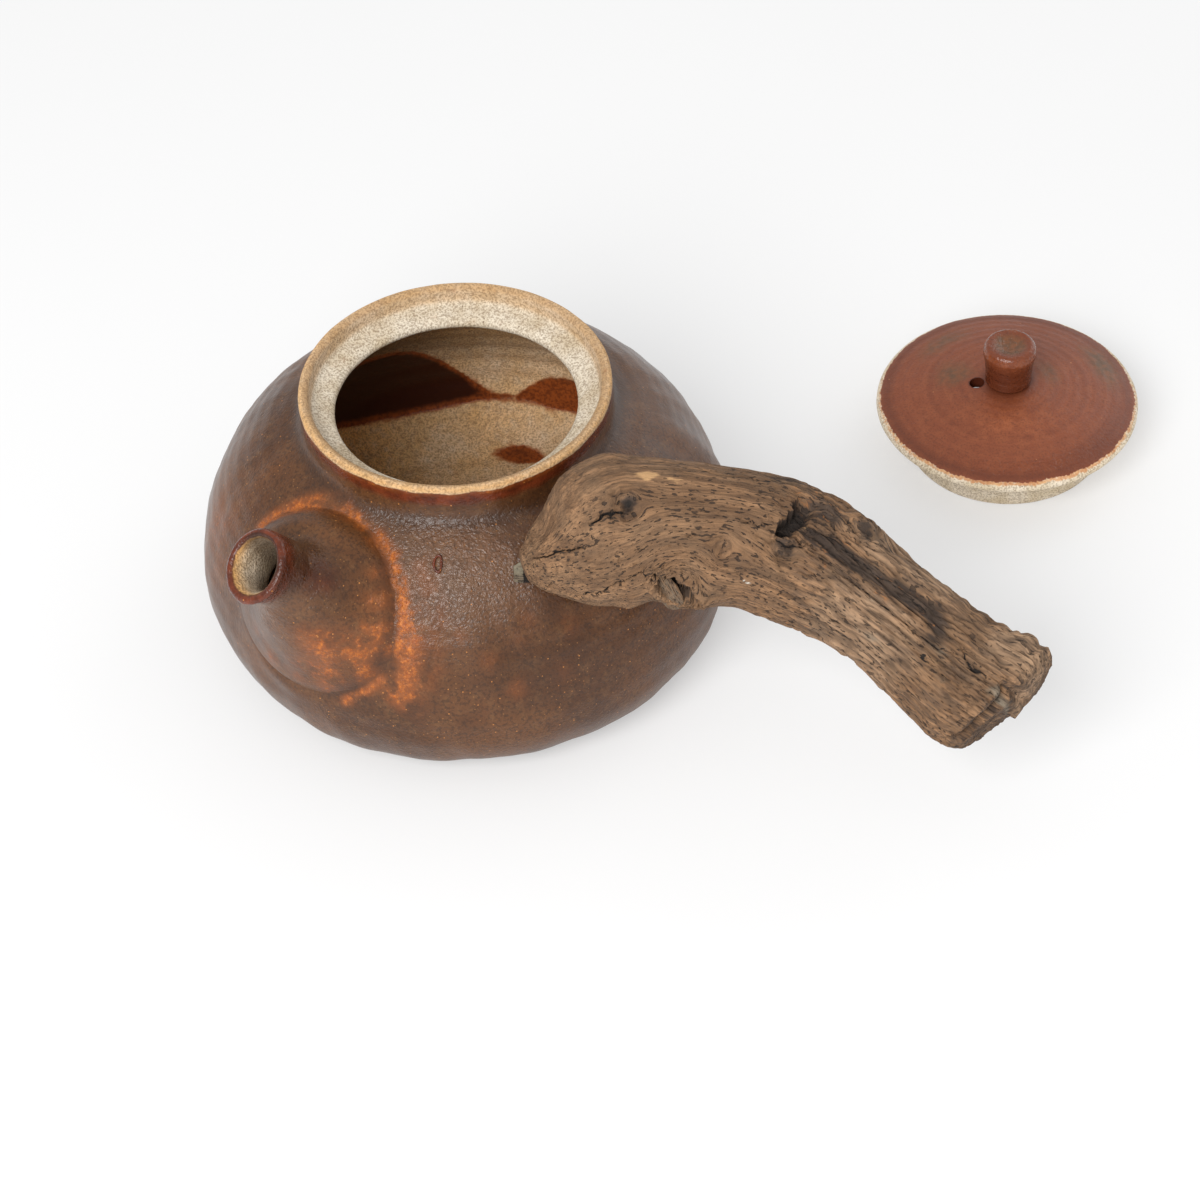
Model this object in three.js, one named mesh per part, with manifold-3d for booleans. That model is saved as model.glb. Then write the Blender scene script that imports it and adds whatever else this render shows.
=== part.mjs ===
// A side-handle teapot of thrown stoneware with a driftwood handle, its lid taken off and
// standing on the table beside it. Millimetres, +Z up. The origin is the centre of the
// pot's flat base, +X runs towards the handle side and -Y towards the spout side.
import * as THREE from 'three';
import { mergeVertices } from 'three/addons/utils/BufferGeometryUtils.js';
import Module from 'manifold-3d';

// Clearance between pieces that are luted or fitted together
const SEAM = 0.3;

// Pot body
const FOOT_RADIUS = 45.3;
const BELLY_RADIUS = 65;
const BELLY_HEIGHT = 21.6;
const LOWER_FULLNESS = 2.37;
const UPPER_FULLNESS = 1.72;
const SHOULDER_HEIGHT = 61.4;
const NECK_RADIUS = 37;
const NECK_FILLET = 3;
const RIM_HEIGHT = 72;
const LIP_RADIUS = 37.4;
const LIP_WIDTH = 2.8;
const GALLERY_DEPTH = 4.6;
const LEDGE_FALL = 1;
const MOUTH_RADIUS = 28.9;
const LEDGE_THICKNESS = 3;
const WALL = 3.2;
const BASE_THICKNESS = 4.2;
const BODY_SIDES = 56;

// Lid and knob
const LID_PLACE = [139, 48.3];
const LID_PLAY = 1.1;
const FLANGE_PLAY = 0.6;
const FLANGE_DEPTH = 11.6;
const FLANGE_TAPER = 2.8;
const FLANGE_WALL = 2.9;
const LID_EDGE = 2.4;
const LID_RISE = 6.4;
const LID_THICKNESS = 3.2;
const LID_SIDES = 48;
const VENT_RADIUS = 1.9;
const VENT_OFFSET = 8;
const KNOB_FOOT_RADIUS = 5.9;
const KNOB_RADIUS = 6.8;
const KNOB_HEIGHT = 12;
const KNOB_SHOULDER = 2.4;
const KNOB_DISH = 1;
const KNOB_SIDES = 28;

// Spout, a flared funnel luted over a hole in the shoulder
const SPOUT_AZIMUTH = -126;
const SPOUT_HEIGHT = 45.5;
const SKIRT_RADIUS = 21.5;
const SKIRT_SHIFT = 3.4;
const SKIRT_OVAL = 0.06;
const SKIRT_EDGE = 0.9;
const FLARE = 1.6;
const SPOUT_RADIUS = 8.2;
const SPOUT_BORE = 5.8;
const SPOUT_BEND = [-6.1, 1.1, 13.1];
const SPOUT_TIP = [-12.8, -5.6, 20.5];
const TIP_FACING = [-0.574, -0.364, 0.734];
const TIP_FLARE = 0.5;
const CHAMBER_RADIUS = 13;
const POUR_HOLE_RADIUS = 9;
const SPOUT_SIDES = 32;

// Strainer, a pierced dome behind the pouring hole
const STRAINER_RIM = 3.4;
const STRAINER_EDGE = 1;
const STRAINER_RISE = 8;
const STRAINER_SIDES = 28;
const STRAINER_WALL = 2;
const STRAINER_HOLE = 1;
const STRAINER_PITCH = 3.1;
const STRAINER_RINGS = 3;

// Driftwood handle, its clay tenon and the wedge driven under its inner end
const HANDLE_AZIMUTH = -51.5;
const HANDLE_SEAT = 55.5;
const TENON_RADIUS = 6.5;
const TENON_LENGTH = 12;
const TENON_PLAY = 0.4;
const WEDGE_PLACE = [-17.7, -9.95, 0.15];
const WEDGE_LENGTH = 9;
const WEDGE_WIDTH = 5.4;
const WEDGE_THICKNESS = 2.4;
const WEDGE_TAPER = 0.5;
const WOOD_RINGS = 42;
const WOOD_SIDES = 32;

// Stations along the branch from its inner end to its free end, measured from the seat on
// the shoulder. Each gives the pith's place, the reach of the wood above and below it
// across the branch, the reach in front of it and behind it, and the section's roll.
const BRANCH = [
  { at: [-15.6, -10.8, 3.6], up: 4.2, down: 5.4, front: 4.8, back: 4.8, roll: 38 },
  { at: [-12.6, -10.2, 4.2], up: 7.6, down: 8.4, front: 7.6, back: 8.4, roll: 39 },
  { at: [-8.0, -9.0, 4.9], up: 11.2, down: 11.8, front: 10.2, back: 10.6, roll: 40 },
  { at: [-2.6, -7.6, 5.4], up: 15.6, down: 14.8, front: 12.2, back: 12.4, roll: 40 },
  { at: [4.5, -5.6, 5.9], up: 18.4, down: 17.4, front: 13.8, back: 14.2, roll: 40 },
  { at: [13.5, -4.2, 5.5], up: 17.0, down: 16.6, front: 14.4, back: 14.4, roll: 42 },
  { at: [24.9, -3.9, 3.5], up: 16.2, down: 16.6, front: 14.5, back: 14.6, roll: 44 },
  { at: [36.4, -4.6, 0.8], up: 16.2, down: 15.4, front: 14.5, back: 14.4, roll: 46 },
  { at: [47.7, -7.8, -2.5], up: 16.0, down: 15.8, front: 14.3, back: 14.2, roll: 48 },
  { at: [58.7, -14.1, -6.5], up: 14.5, down: 14.4, front: 13.8, back: 13.8, roll: 50 },
  { at: [67.3, -21.7, -10.0], up: 14.2, down: 13.2, front: 13.5, back: 13.4, roll: 52 },
  { at: [75.7, -29.6, -14.0], up: 14.8, down: 13.7, front: 13.5, back: 13.2, roll: 54 },
  { at: [83.1, -36.3, -17.5], up: 16.0, down: 14.6, front: 13.4, back: 13.0, roll: 55 },
  { at: [89.1, -41.4, -19.8], up: 17.2, down: 13.8, front: 13.0, back: 12.6, roll: 55 },
];

// Hollows (positive depth) and swellings (negative) of the weathered wood. along is the
// distance from the inner end, around the angle from the front towards the top edge.
const MARKS = [
  { name: 'inner shoulder', along: 9, around: 74, length: 6.0, width: 7.0, depth: -2.2 },
  { name: 'small knot', along: 23.6, around: 23, length: 2.4, width: 2.4, depth: 1.3 },
  { name: 'knot hollow', along: 35, around: -56, length: 6.5, width: 4.6, depth: 5.5 },
  { name: 'knot lip', along: 43, around: -62, length: 4.0, width: 4.0, depth: -1.2 },
  { name: 'notch brow', along: 54, around: 30, length: 3.4, width: 6.0, depth: -0.9 },
  { name: 'broken notch', along: 60.5, around: 32, length: 3.6, width: 5.6, depth: 3.2 },
  { name: 'dark hollow', along: 60.5, around: 2, length: 4.6, width: 3.4, depth: 1.2 },
  { name: 'top knot', along: 75, around: 63, length: 4.5, width: 4.2, depth: -1.3 },
  { name: 'shoulder nick', along: 83, around: 73, length: 2.6, width: 3.6, depth: 1.4 },
  { name: 'long groove', along: 86, around: 26, length: 20, width: 4.2, depth: 1.8 },
  { name: 'second groove', along: 90, around: 1, length: 13, width: 2.6, depth: 1.1 },
  { name: 'upper ridge', along: 92, around: 50, length: 18, width: 3.4, depth: -1.1 },
  { name: 'lower ridge', along: 95, around: -14, length: 18, width: 3.4, depth: -0.9 },
  { name: 'end lobe', along: 119, around: 70, length: 4.6, width: 6.0, depth: -2.2 },
  { name: 'under hollow', along: 84, around: 190, length: 24, width: 7.0, depth: 1.4 },
];
const END_LEAN = 2.6;
const END_SWELL = 2.8;

// The splinter that bridges the knot hollow, from its root to its point. share is the part
// of the branch's stations passed and sunk the depth under the wood's surface.
const SPLINTER_ROOT = { share: 0.378, around: -40, sunk: 3.2 };
const SPLINTER_POINT = { share: 0.429, around: -84, sunk: -0.6 };
const SPLINTER_WIDTH = 4.4;
const SPLINTER_THICKNESS = 2.2;

// The outer layer of the broken end has split off and ends short of the rest, with a gap
// behind it. The gap's middle lies this far to the front and to the top edge of the pith.
const SPLIT_PLACE = [7.5, -5.5];
const SPLIT_LEAN = 12.3;
const SPLIT_GAP = 1.3;
const SPLIT_WIDTH = 20;
const SPLIT_DEPTH = 5.6;
const SPLIT_SHORT = 2.4;
const LAYER_THICKNESS = 12;

const { cos, sin, hypot, PI, max, min } = Math;
const wasm = await Module();
wasm.setup();

function finish(name, color, roughness) {
  return new THREE.MeshStandardMaterial({ name, color, roughness, metalness: 0 });
}

const GLAZE = finish('ash_glaze', 0x5e4636, 0.35);
const RED_GLAZE = finish('red_glaze', 0x8a4c30, 0.4);
const CLAY = finish('bare_clay', 0xbfa98a, 0.9);
const WOOD = finish('driftwood', 0x8f7256, 0.85);
const WEDGE_WOOD = finish('wedge_wood', 0x8d8b74, 0.8);

// Closed geometry as a solid that can be cut, whichever way its triangles were wound
function toSolid(geometry) {
  const bare = new THREE.BufferGeometry();
  bare.setAttribute('position', geometry.getAttribute('position'));
  bare.setIndex(geometry.getIndex());
  const merged = mergeVertices(bare, 1e-4);
  const corner = merged.getAttribute('position');
  const index = merged.getIndex().array;
  const point = (i) => new THREE.Vector3().fromBufferAttribute(corner, index[i]);
  const triangles = [];
  let volume = 0;
  for (let i = 0; i < index.length; i += 3) {
    const [a, b, c] = index.slice(i, i + 3);
    if (a === b || b === c || c === a) continue;
    triangles.push([a, b, c]);
    volume += point(i).dot(point(i + 1).cross(point(i + 2)));
  }
  const facing = volume > 0 ? triangles : triangles.map(([a, b, c]) => [a, c, b]);
  return new wasm.Manifold(new wasm.Mesh({
    numProp: 3,
    vertProperties: new Float32Array(corner.array),
    triVerts: new Uint32Array(facing.flat()),
  }));
}

function toMesh(name, solid, material) {
  const { vertProperties, triVerts } = solid.getMesh();
  const geometry = new THREE.BufferGeometry();
  geometry.setAttribute('position', new THREE.BufferAttribute(vertProperties, 3));
  geometry.setIndex(new THREE.BufferAttribute(triVerts, 1));
  geometry.computeVertexNormals();
  const mesh = new THREE.Mesh(geometry, material);
  mesh.name = name;
  return mesh;
}

// Revolved about the vertical axis; the profile is [radius, height] pairs
function turned(profile, sides) {
  const points = profile.map(([r, z]) => new THREE.Vector2(r, z));
  return toSolid(new THREE.LatheGeometry(points, sides).rotateX(PI / 2));
}

// Skin over equal rings of points: closed on itself, or ended by a cap at each end
function skinned(rings, closed = false) {
  const sides = rings[0].length;
  const points = rings.flat();
  const index = [];
  const spans = closed ? rings.length : rings.length - 1;
  for (let i = 0; i < spans; i++) {
    const here = i * sides;
    const next = ((i + 1) % rings.length) * sides;
    for (let j = 0; j < sides; j++) {
      const k = (j + 1) % sides;
      index.push(here + j, here + k, next + k, here + j, next + k, next + j);
    }
  }
  if (!closed) {
    [[rings[0], 0, 1], [rings.at(-1), (rings.length - 1) * sides, -1]].forEach(([ring, start, turn]) => {
      const middle = points.length;
      points.push(ring.reduce((sum, p) => sum.add(p), new THREE.Vector3()).divideScalar(sides));
      for (let j = 0; j < sides; j++) {
        const pair = [start + j, start + (j + 1) % sides];
        index.push(middle, pair[turn > 0 ? 1 : 0], pair[turn > 0 ? 0 : 1]);
      }
    });
  }
  const geometry = new THREE.BufferGeometry().setFromPoints(points);
  geometry.setIndex(index);
  return toSolid(geometry);
}

// A rod along a direction from a foot point, for bores, holes and the tenon
function rod(radius, foot, direction, from, to, sides) {
  const along = direction.clone().normalize();
  const geometry = new THREE.CylinderGeometry(radius, radius, to - from, sides);
  geometry.applyQuaternion(new THREE.Quaternion().setFromUnitVectors(new THREE.Vector3(0, 1, 0), along));
  const middle = foot.clone().addScaledVector(along, (from + to) / 2);
  return toSolid(geometry.translate(middle.x, middle.y, middle.z));
}

// Quarter of a superellipse between a waist point and a crown point
function swell(start, end, fullness, steps, from = 0, to = 1, bulgeFirst = true) {
  return Array.from({ length: steps + 1 }, (_, i) => {
    const a = (from + (to - from) * i / steps) * PI / 2;
    const rise = sin(a) ** (2 / fullness);
    const fall = 1 - cos(a) ** (2 / fullness);
    const [u, v] = bulgeFirst ? [rise, fall] : [fall, rise];
    return [start[0] + (end[0] - start[0]) * u, start[1] + (end[1] - start[1]) * v];
  });
}

// Outside of the pot from the foot's edge to the lip, and its inside from floor to ledge
const NECK_FOOT = [NECK_RADIUS, SHOULDER_HEIGHT];
const OUTSIDE = [
  ...swell([FOOT_RADIUS, 0], [BELLY_RADIUS, BELLY_HEIGHT], LOWER_FULLNESS, 7),
  ...swell([BELLY_RADIUS, BELLY_HEIGHT], NECK_FOOT, UPPER_FULLNESS, 10, 0.07, 0.84, false),
  [NECK_RADIUS + NECK_FILLET * 0.4, SHOULDER_HEIGHT + NECK_FILLET * 0.3],
  [NECK_RADIUS, SHOULDER_HEIGHT + NECK_FILLET],
  [NECK_RADIUS, (SHOULDER_HEIGHT + NECK_FILLET + RIM_HEIGHT) / 2],
  [LIP_RADIUS, RIM_HEIGHT - 1],
];
const GALLERY_RADIUS = LIP_RADIUS - LIP_WIDTH;
const LEDGE_HEIGHT = RIM_HEIGHT - GALLERY_DEPTH;
const THROAT_HEIGHT = LEDGE_HEIGHT - LEDGE_FALL - LEDGE_THICKNESS;
const INSIDE = [
  ...swell([FOOT_RADIUS - WALL, BASE_THICKNESS], [BELLY_RADIUS - WALL, BELLY_HEIGHT], LOWER_FULLNESS, 5),
  ...swell([BELLY_RADIUS - WALL, BELLY_HEIGHT], [NECK_RADIUS - WALL, SHOULDER_HEIGHT - WALL],
    UPPER_FULLNESS, 7, 0.08, 0.86, false),
];

function radiusAt(outline, z) {
  for (let i = 1; i < outline.length; i++) {
    const [[r0, z0], [r1, z1]] = [outline[i - 1], outline[i]];
    if (z <= z1) return r0 + (r1 - r0) * max(0, (z - z0) / (z1 - z0));
  }
  return outline.at(-1)[0];
}

// Outline moved outwards along its own normals
function grown(outline, by) {
  return outline.map(([r, z], i) => {
    const [r0, z0] = outline[max(0, i - 1)];
    const [r1, z1] = outline[min(outline.length - 1, i + 1)];
    const reach = by / hypot(r1 - r0, z1 - z0);
    return [r + (z1 - z0) * reach, z - (r1 - r0) * reach];
  });
}

// The room that the pot takes up, with a seam around it, for cutting what is fitted to it
function potEnvelope() {
  const wall = grown(OUTSIDE, SEAM);
  const foot = wall[0][1];
  const top = RIM_HEIGHT + SEAM;
  const profile = [[0, foot], ...wall, [LIP_RADIUS + SEAM, top], [0, top]];
  return turned(profile, BODY_SIDES);
}

// A frame on an outline of revolution: the point at an azimuth and height, its normal n,
// the level direction e and the direction m that climbs the wall
function seatOn(outline, azimuth, height) {
  const a = THREE.MathUtils.degToRad(azimuth);
  const slope = radiusAt(outline, height + 0.5) - radiusAt(outline, height - 0.5);
  const level = new THREE.Vector3(cos(a), sin(a), 0);
  const n = level.clone().setZ(-slope).normalize();
  const e = new THREE.Vector3(-sin(a), cos(a), 0);
  const point = level.clone().multiplyScalar(radiusAt(outline, height)).setZ(height);
  return { point, n, e, m: n.clone().cross(e) };
}

// How far a point falls along a direction before it meets an outline of revolution
function fallTo(outline, point, direction) {
  const outsideAt = (d) => {
    const p = point.clone().addScaledVector(direction, d);
    return hypot(p.x, p.y) - radiusAt(outline, p.z);
  };
  let [near, far] = [-4, 30];
  for (let i = 0; i < 40; i++) {
    const middle = (near + far) / 2;
    if (outsideAt(middle) > 0) near = middle;
    else far = middle;
  }
  return near;
}

function smooth(t) {
  return THREE.MathUtils.smoothstep(t, 0, 1);
}

function potBody() {
  const ledge = LEDGE_HEIGHT - LEDGE_FALL;
  const profile = [
    [0, 0],
    ...OUTSIDE,
    [LIP_RADIUS - LIP_WIDTH * 0.25, RIM_HEIGHT],
    [GALLERY_RADIUS + LIP_WIDTH * 0.3, RIM_HEIGHT],
    [GALLERY_RADIUS, RIM_HEIGHT - 0.8],
    [GALLERY_RADIUS - 0.3, LEDGE_HEIGHT + 0.5],
    [GALLERY_RADIUS - 1, LEDGE_HEIGHT],
    [MOUTH_RADIUS + 1, ledge],
    [MOUTH_RADIUS, ledge - 1],
    [MOUTH_RADIUS, THROAT_HEIGHT + 1],
    [MOUTH_RADIUS + 1, THROAT_HEIGHT],
    [GALLERY_RADIUS - WALL, THROAT_HEIGHT - 1],
    ...INSIDE.toReversed(),
    [0, BASE_THICKNESS],
  ];
  const { point, n } = seatOn(OUTSIDE, SPOUT_AZIMUTH, SPOUT_HEIGHT);
  const hole = rod(POUR_HOLE_RADIUS, point, n, -4 * WALL, 2 * WALL, 24);
  return turned(profile, BODY_SIDES).subtract(hole);
}

// The spout's walls as rings. They start as circles draped on the shoulder, narrow like a
// bell along a bent line and end on the slanting plane of the pouring lip.
function spout() {
  const seat = seatOn(OUTSIDE, SPOUT_AZIMUTH, SPOUT_HEIGHT);
  const offset = (by) => seat.point.clone().add(new THREE.Vector3(...by));
  const tip = offset(SPOUT_TIP);
  const line = new THREE.QuadraticBezierCurve3(seat.point, offset(SPOUT_BEND), tip);
  const facing = new THREE.Vector3(...TIP_FACING).normalize();
  const down = seat.n.clone().negate();

  function ring(t, radius, lift) {
    const centre = line.getPoint(t);
    const along = seat.n.clone().lerp(line.getTangent(t), smooth(t / 0.6)).normalize();
    const across = seat.m.clone().cross(along).normalize();
    const upward = along.clone().cross(across);
    const settle = max(0, 1 - t / 0.45) ** 2;
    const slant = smooth((t - 0.4) / 0.6) / along.dot(facing);
    return Array.from({ length: SPOUT_SIDES }, (_, i) => {
      const a = 2 * PI * i / SPOUT_SIDES;
      const wide = radius * cos(a) * (1 + SKIRT_OVAL * settle);
      const out = across.clone().multiplyScalar(wide).addScaledVector(upward, radius * sin(a));
      out.addScaledVector(seat.e, -SKIRT_SHIFT * settle);
      const drop = fallTo(OUTSIDE, seat.point.clone().add(out), down) - lift;
      const p = centre.clone().add(out).addScaledVector(down, drop * settle);
      return p.addScaledVector(along, -slant * out.dot(facing));
    });
  }

  const bell = (t) => (SKIRT_RADIUS - SPOUT_RADIUS) * max(0, 1 - t / 0.6) ** FLARE;
  const outside = (t) => SPOUT_RADIUS + bell(t) + TIP_FLARE * smooth((t - 0.7) / 0.3);
  const throat = (t) => SPOUT_BORE + (CHAMBER_RADIUS - SPOUT_BORE) * max(0, 1 - t / 0.7) ** FLARE;
  const outer = [0, 0.06, 0.12, 0.19, 0.27, 0.36, 0.46, 0.6, 0.78, 0.96];
  const inner = [0.96, 0.78, 0.6, 0.44, 0.3, 0.18, 0.08];
  return skinned([
    ...outer.map((t) => ring(t, outside(t), SEAM + SKIRT_EDGE)),
    ring(1, outside(1) - 0.6, 0),
    ring(1, throat(1) + 0.6, 0),
    ...inner.map((t) => ring(t, throat(t), SEAM + SKIRT_EDGE)),
    ring(0, CHAMBER_RADIUS, SEAM),
    ring(0, (CHAMBER_RADIUS + SKIRT_RADIUS) / 2, SEAM),
    ring(0, SKIRT_RADIUS, SEAM),
  ], true);
}

// Pierced dome on the inside of the wall, over the pouring hole
function strainer() {
  const seat = seatOn(OUTSIDE, SPOUT_AZIMUTH, SPOUT_HEIGHT);
  const inward = seat.n.clone().negate();
  const rim = POUR_HOLE_RADIUS + STRAINER_RIM;
  const hollowRadius = POUR_HOLE_RADIUS + SEAM;
  const height = STRAINER_RISE - STRAINER_EDGE;

  function shellRing(radius, bulge) {
    return Array.from({ length: STRAINER_SIDES }, (_, i) => {
      const a = 2 * PI * i / STRAINER_SIDES;
      const start = seat.point.clone().addScaledVector(seat.e, radius * cos(a));
      start.addScaledVector(seat.m, radius * sin(a));
      return start.addScaledVector(inward, fallTo(INSIDE, start, inward) + SEAM + bulge);
    });
  }

  const dome = (share, height) => height * (1 - share ** 2) ** 0.5;
  const shell = skinned([
    shellRing(hollowRadius, 0),
    shellRing(rim, 0),
    ...[1, 0.96, 0.84, 0.64, 0.4, 0.15]
      .map((share) => shellRing(rim * share, STRAINER_EDGE + dome(share, height))),
  ]);
  const hollow = skinned([
    shellRing(hollowRadius, -WALL / 2),
    ...[0.96, 0.8, 0.55, 0.25]
      .map((share) => shellRing(hollowRadius * share, dome(share, height - STRAINER_WALL))),
  ]);
  const holes = [];
  for (let k = 0; k <= STRAINER_RINGS; k++) {
    for (let i = 0; i < max(1, 6 * k); i++) {
      const a = 2 * PI * i / max(1, 6 * k);
      const foot = seat.point.clone().addScaledVector(seat.e, STRAINER_PITCH * k * cos(a));
      foot.addScaledVector(seat.m, STRAINER_PITCH * k * sin(a));
      holes.push(rod(STRAINER_HOLE, foot, inward, -2, 4 * WALL + STRAINER_RISE, 6));
    }
  }
  return shell.subtract(wasm.Manifold.union([hollow, ...holes]));
}

// Clay tenon that stands square on the shoulder, inside the wood
function handleTenon() {
  const { point, n } = handleSeat();
  return rod(TENON_RADIUS, point, n, -WALL, TENON_LENGTH, 24).subtract(potEnvelope());
}

function handleSeat() {
  return seatOn(OUTSIDE, HANDLE_AZIMUTH, HANDLE_SEAT);
}

// The wedge tapers from its outer end, which shows, to its inner end under the wood
function wedgeShape(seam) {
  const { point } = handleSeat();
  const outline = new THREE.Shape();
  const [wide, thin] = [WEDGE_WIDTH / 2 + seam, WEDGE_THICKNESS / 2 + seam];
  outline.moveTo(-seam, -thin);
  outline.lineTo(WEDGE_LENGTH + seam, -thin * (1 - WEDGE_TAPER / 2));
  outline.lineTo(WEDGE_LENGTH + seam, thin * (1 - WEDGE_TAPER));
  outline.lineTo(-seam, thin);
  outline.closePath();
  const geometry = new THREE.ExtrudeGeometry(outline, { depth: 2 * wide, bevelEnabled: false });
  geometry.translate(0, 0, -wide);
  const place = point.clone().add(new THREE.Vector3(...WEDGE_PLACE));
  const { n } = seatOn(OUTSIDE, THREE.MathUtils.radToDeg(Math.atan2(place.y, place.x)), place.z);
  const inwards = new THREE.Vector3(1, 0, 0).addScaledVector(n, -n.x).normalize();
  const basis = new THREE.Matrix4().makeBasis(inwards, n, inwards.clone().cross(n));
  return toSolid(geometry.applyMatrix4(basis).translate(place.x, place.y, place.z));
}

function handleWedge() {
  return wedgeShape(0).subtract(potEnvelope());
}

// Uniform Catmull-Rom curve through three numbers of each station
function stationCurve(read) {
  const points = BRANCH.map((station) => new THREE.Vector3(...read(station)));
  return new THREE.CatmullRomCurve3(points, false, 'catmullrom', 0.5);
}

const PITH = stationCurve((s) => s.at);
const REACHES = stationCurve((s) => [s.up, s.down, s.roll]);
const DEPTHS = stationCurve((s) => [s.front, s.back, 0]);

// Section of the branch at a share of its stations: the pith's place, the way along it, the
// ways to the top edge and to the front, and how far the wood reaches at an angle
function section(share) {
  const along = PITH.getTangent(share);
  const side = along.clone().cross(new THREE.Vector3(0, 0, 1)).normalize();
  const over = side.clone().cross(along);
  const { x: up, y: down, z: roll } = REACHES.getPoint(share);
  const { x: front, y: back } = DEPTHS.getPoint(share);
  const r = THREE.MathUtils.degToRad(roll);
  const top = over.clone().multiplyScalar(cos(r)).addScaledVector(side, -sin(r));
  const face = side.clone().multiplyScalar(cos(r)).addScaledVector(over, sin(r));
  const out = (a) => {
    const high = sin(a) * (sin(a) > 0 ? up : down);
    const fore = cos(a) * (cos(a) > 0 ? front : back);
    return top.clone().multiplyScalar(high).addScaledVector(face, fore);
  };
  return { centre: PITH.getPoint(share), along, top, face, out };
}

// Depth of all the marks at a place on the wood; spread is measured in millimetres
function markDepth(along, around, reach) {
  return MARKS.reduce((sum, mark) => {
    let turn = around - mark.around;
    turn -= 360 * Math.round(turn / 360);
    const side = THREE.MathUtils.degToRad(turn) * reach / mark.width;
    const ahead = (along - mark.along) / mark.length;
    return sum + mark.depth * Math.exp(-(ahead ** 2 + side ** 2));
  }, 0);
}

// A tapering sliver of wood from its root, deep in the knot hollow, out over the hollow's rim
function splinter() {
  const ends = [SPLINTER_ROOT, SPLINTER_POINT].map(({ share, around, sunk }) => {
    const { centre, out } = section(share);
    const away = out(THREE.MathUtils.degToRad(around));
    return { away, at: centre.addScaledVector(away, 1 - sunk / away.length()) };
  });
  const along = ends[1].at.clone().sub(ends[0].at).normalize();
  const across = along.clone().cross(ends[0].away).normalize();
  const out = across.clone().cross(along);
  return skinned([0, 0.3, 0.6, 0.85, 1].map((k) => {
    const wide = SPLINTER_WIDTH / 2 * (0.7 + 0.5 * k - 0.8 * k ** 6);
    const thick = SPLINTER_THICKNESS / 2 * (1 - 0.5 * k);
    const middle = ends[0].at.clone().lerp(ends[1].at, k);
    return Array.from({ length: 8 }, (_, i) => {
      const a = 2 * PI * i / 8;
      return middle.clone().addScaledVector(across, wide * cos(a)).addScaledVector(out, thick * sin(a));
    });
  }));
}

// What is missing at the broken end: the gap and the outer layer's end in front of it
function endSplit() {
  const { centre, along, top, face } = section(1);
  const [fore, high] = SPLIT_PLACE;
  const place = centre.addScaledVector(face, fore).addScaledVector(top, high);
  place.addScaledVector(along, END_SWELL);
  const basis = new THREE.Matrix4().makeBasis(top, face, along.clone().negate()).setPosition(place);
  const [gap, layer] = [[SPLIT_GAP, 0, SPLIT_DEPTH], [LAYER_THICKNESS, LAYER_THICKNESS / 2, SPLIT_SHORT]]
    .map(([thick, shift, deep]) => {
      const geometry = new THREE.BoxGeometry(SPLIT_WIDTH, thick, 2 * deep).translate(0, shift, 0);
      geometry.rotateZ(THREE.MathUtils.degToRad(SPLIT_LEAN));
      return toSolid(geometry.applyMatrix4(basis));
    });
  return gap.add(layer);
}

function driftwood() {
  const { point, n } = handleSeat();
  const rings = [];
  let travelled = 0;
  let before = PITH.getPoint(0);

  function ring(share, scale, push) {
    const { centre, along, out } = section(share);
    return Array.from({ length: WOOD_SIDES }, (_, i) => {
      const a = 2 * PI * i / WOOD_SIDES;
      const away = out(a);
      const reach = away.length();
      const keep = (1 - markDepth(travelled, a * 180 / PI, reach) / reach) * scale;
      const lean = END_LEAN * sin(a) * smooth((share - 0.9) / 0.1);
      return centre.clone().addScaledVector(away, keep).addScaledVector(along, push + lean);
    });
  }

  for (let k = 0; k <= WOOD_RINGS; k++) {
    const share = k / WOOD_RINGS;
    travelled += PITH.getPoint(share).distanceTo(before);
    before = PITH.getPoint(share);
    if (k === 0) rings.push(ring(share, 0.55, -0.6));
    rings.push(ring(share, 1, 0));
  }
  rings.push(ring(1, 0.92, 0.7 * END_SWELL), ring(1, 0.5, END_SWELL));
  const branch = skinned(rings).add(splinter()).subtract(endSplit()).translate([point.x, point.y, point.z]);
  const bore = rod(TENON_RADIUS + TENON_PLAY, point, n, -2 * WALL, TENON_LENGTH + TENON_PLAY, 24);
  return branch.subtract(potEnvelope()).subtract(bore).subtract(wedgeShape(SEAM));
}

// Height of the lid's domed top above its disc's upper edge
function lidDome(r) {
  return LID_RISE * (1 - (r / LID_RADIUS) ** 1.7);
}

const LID_RADIUS = GALLERY_RADIUS - LID_PLAY;
const FLANGE_RADIUS = MOUTH_RADIUS - FLANGE_PLAY;
const LID_TOP = FLANGE_DEPTH + LID_EDGE;

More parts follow.
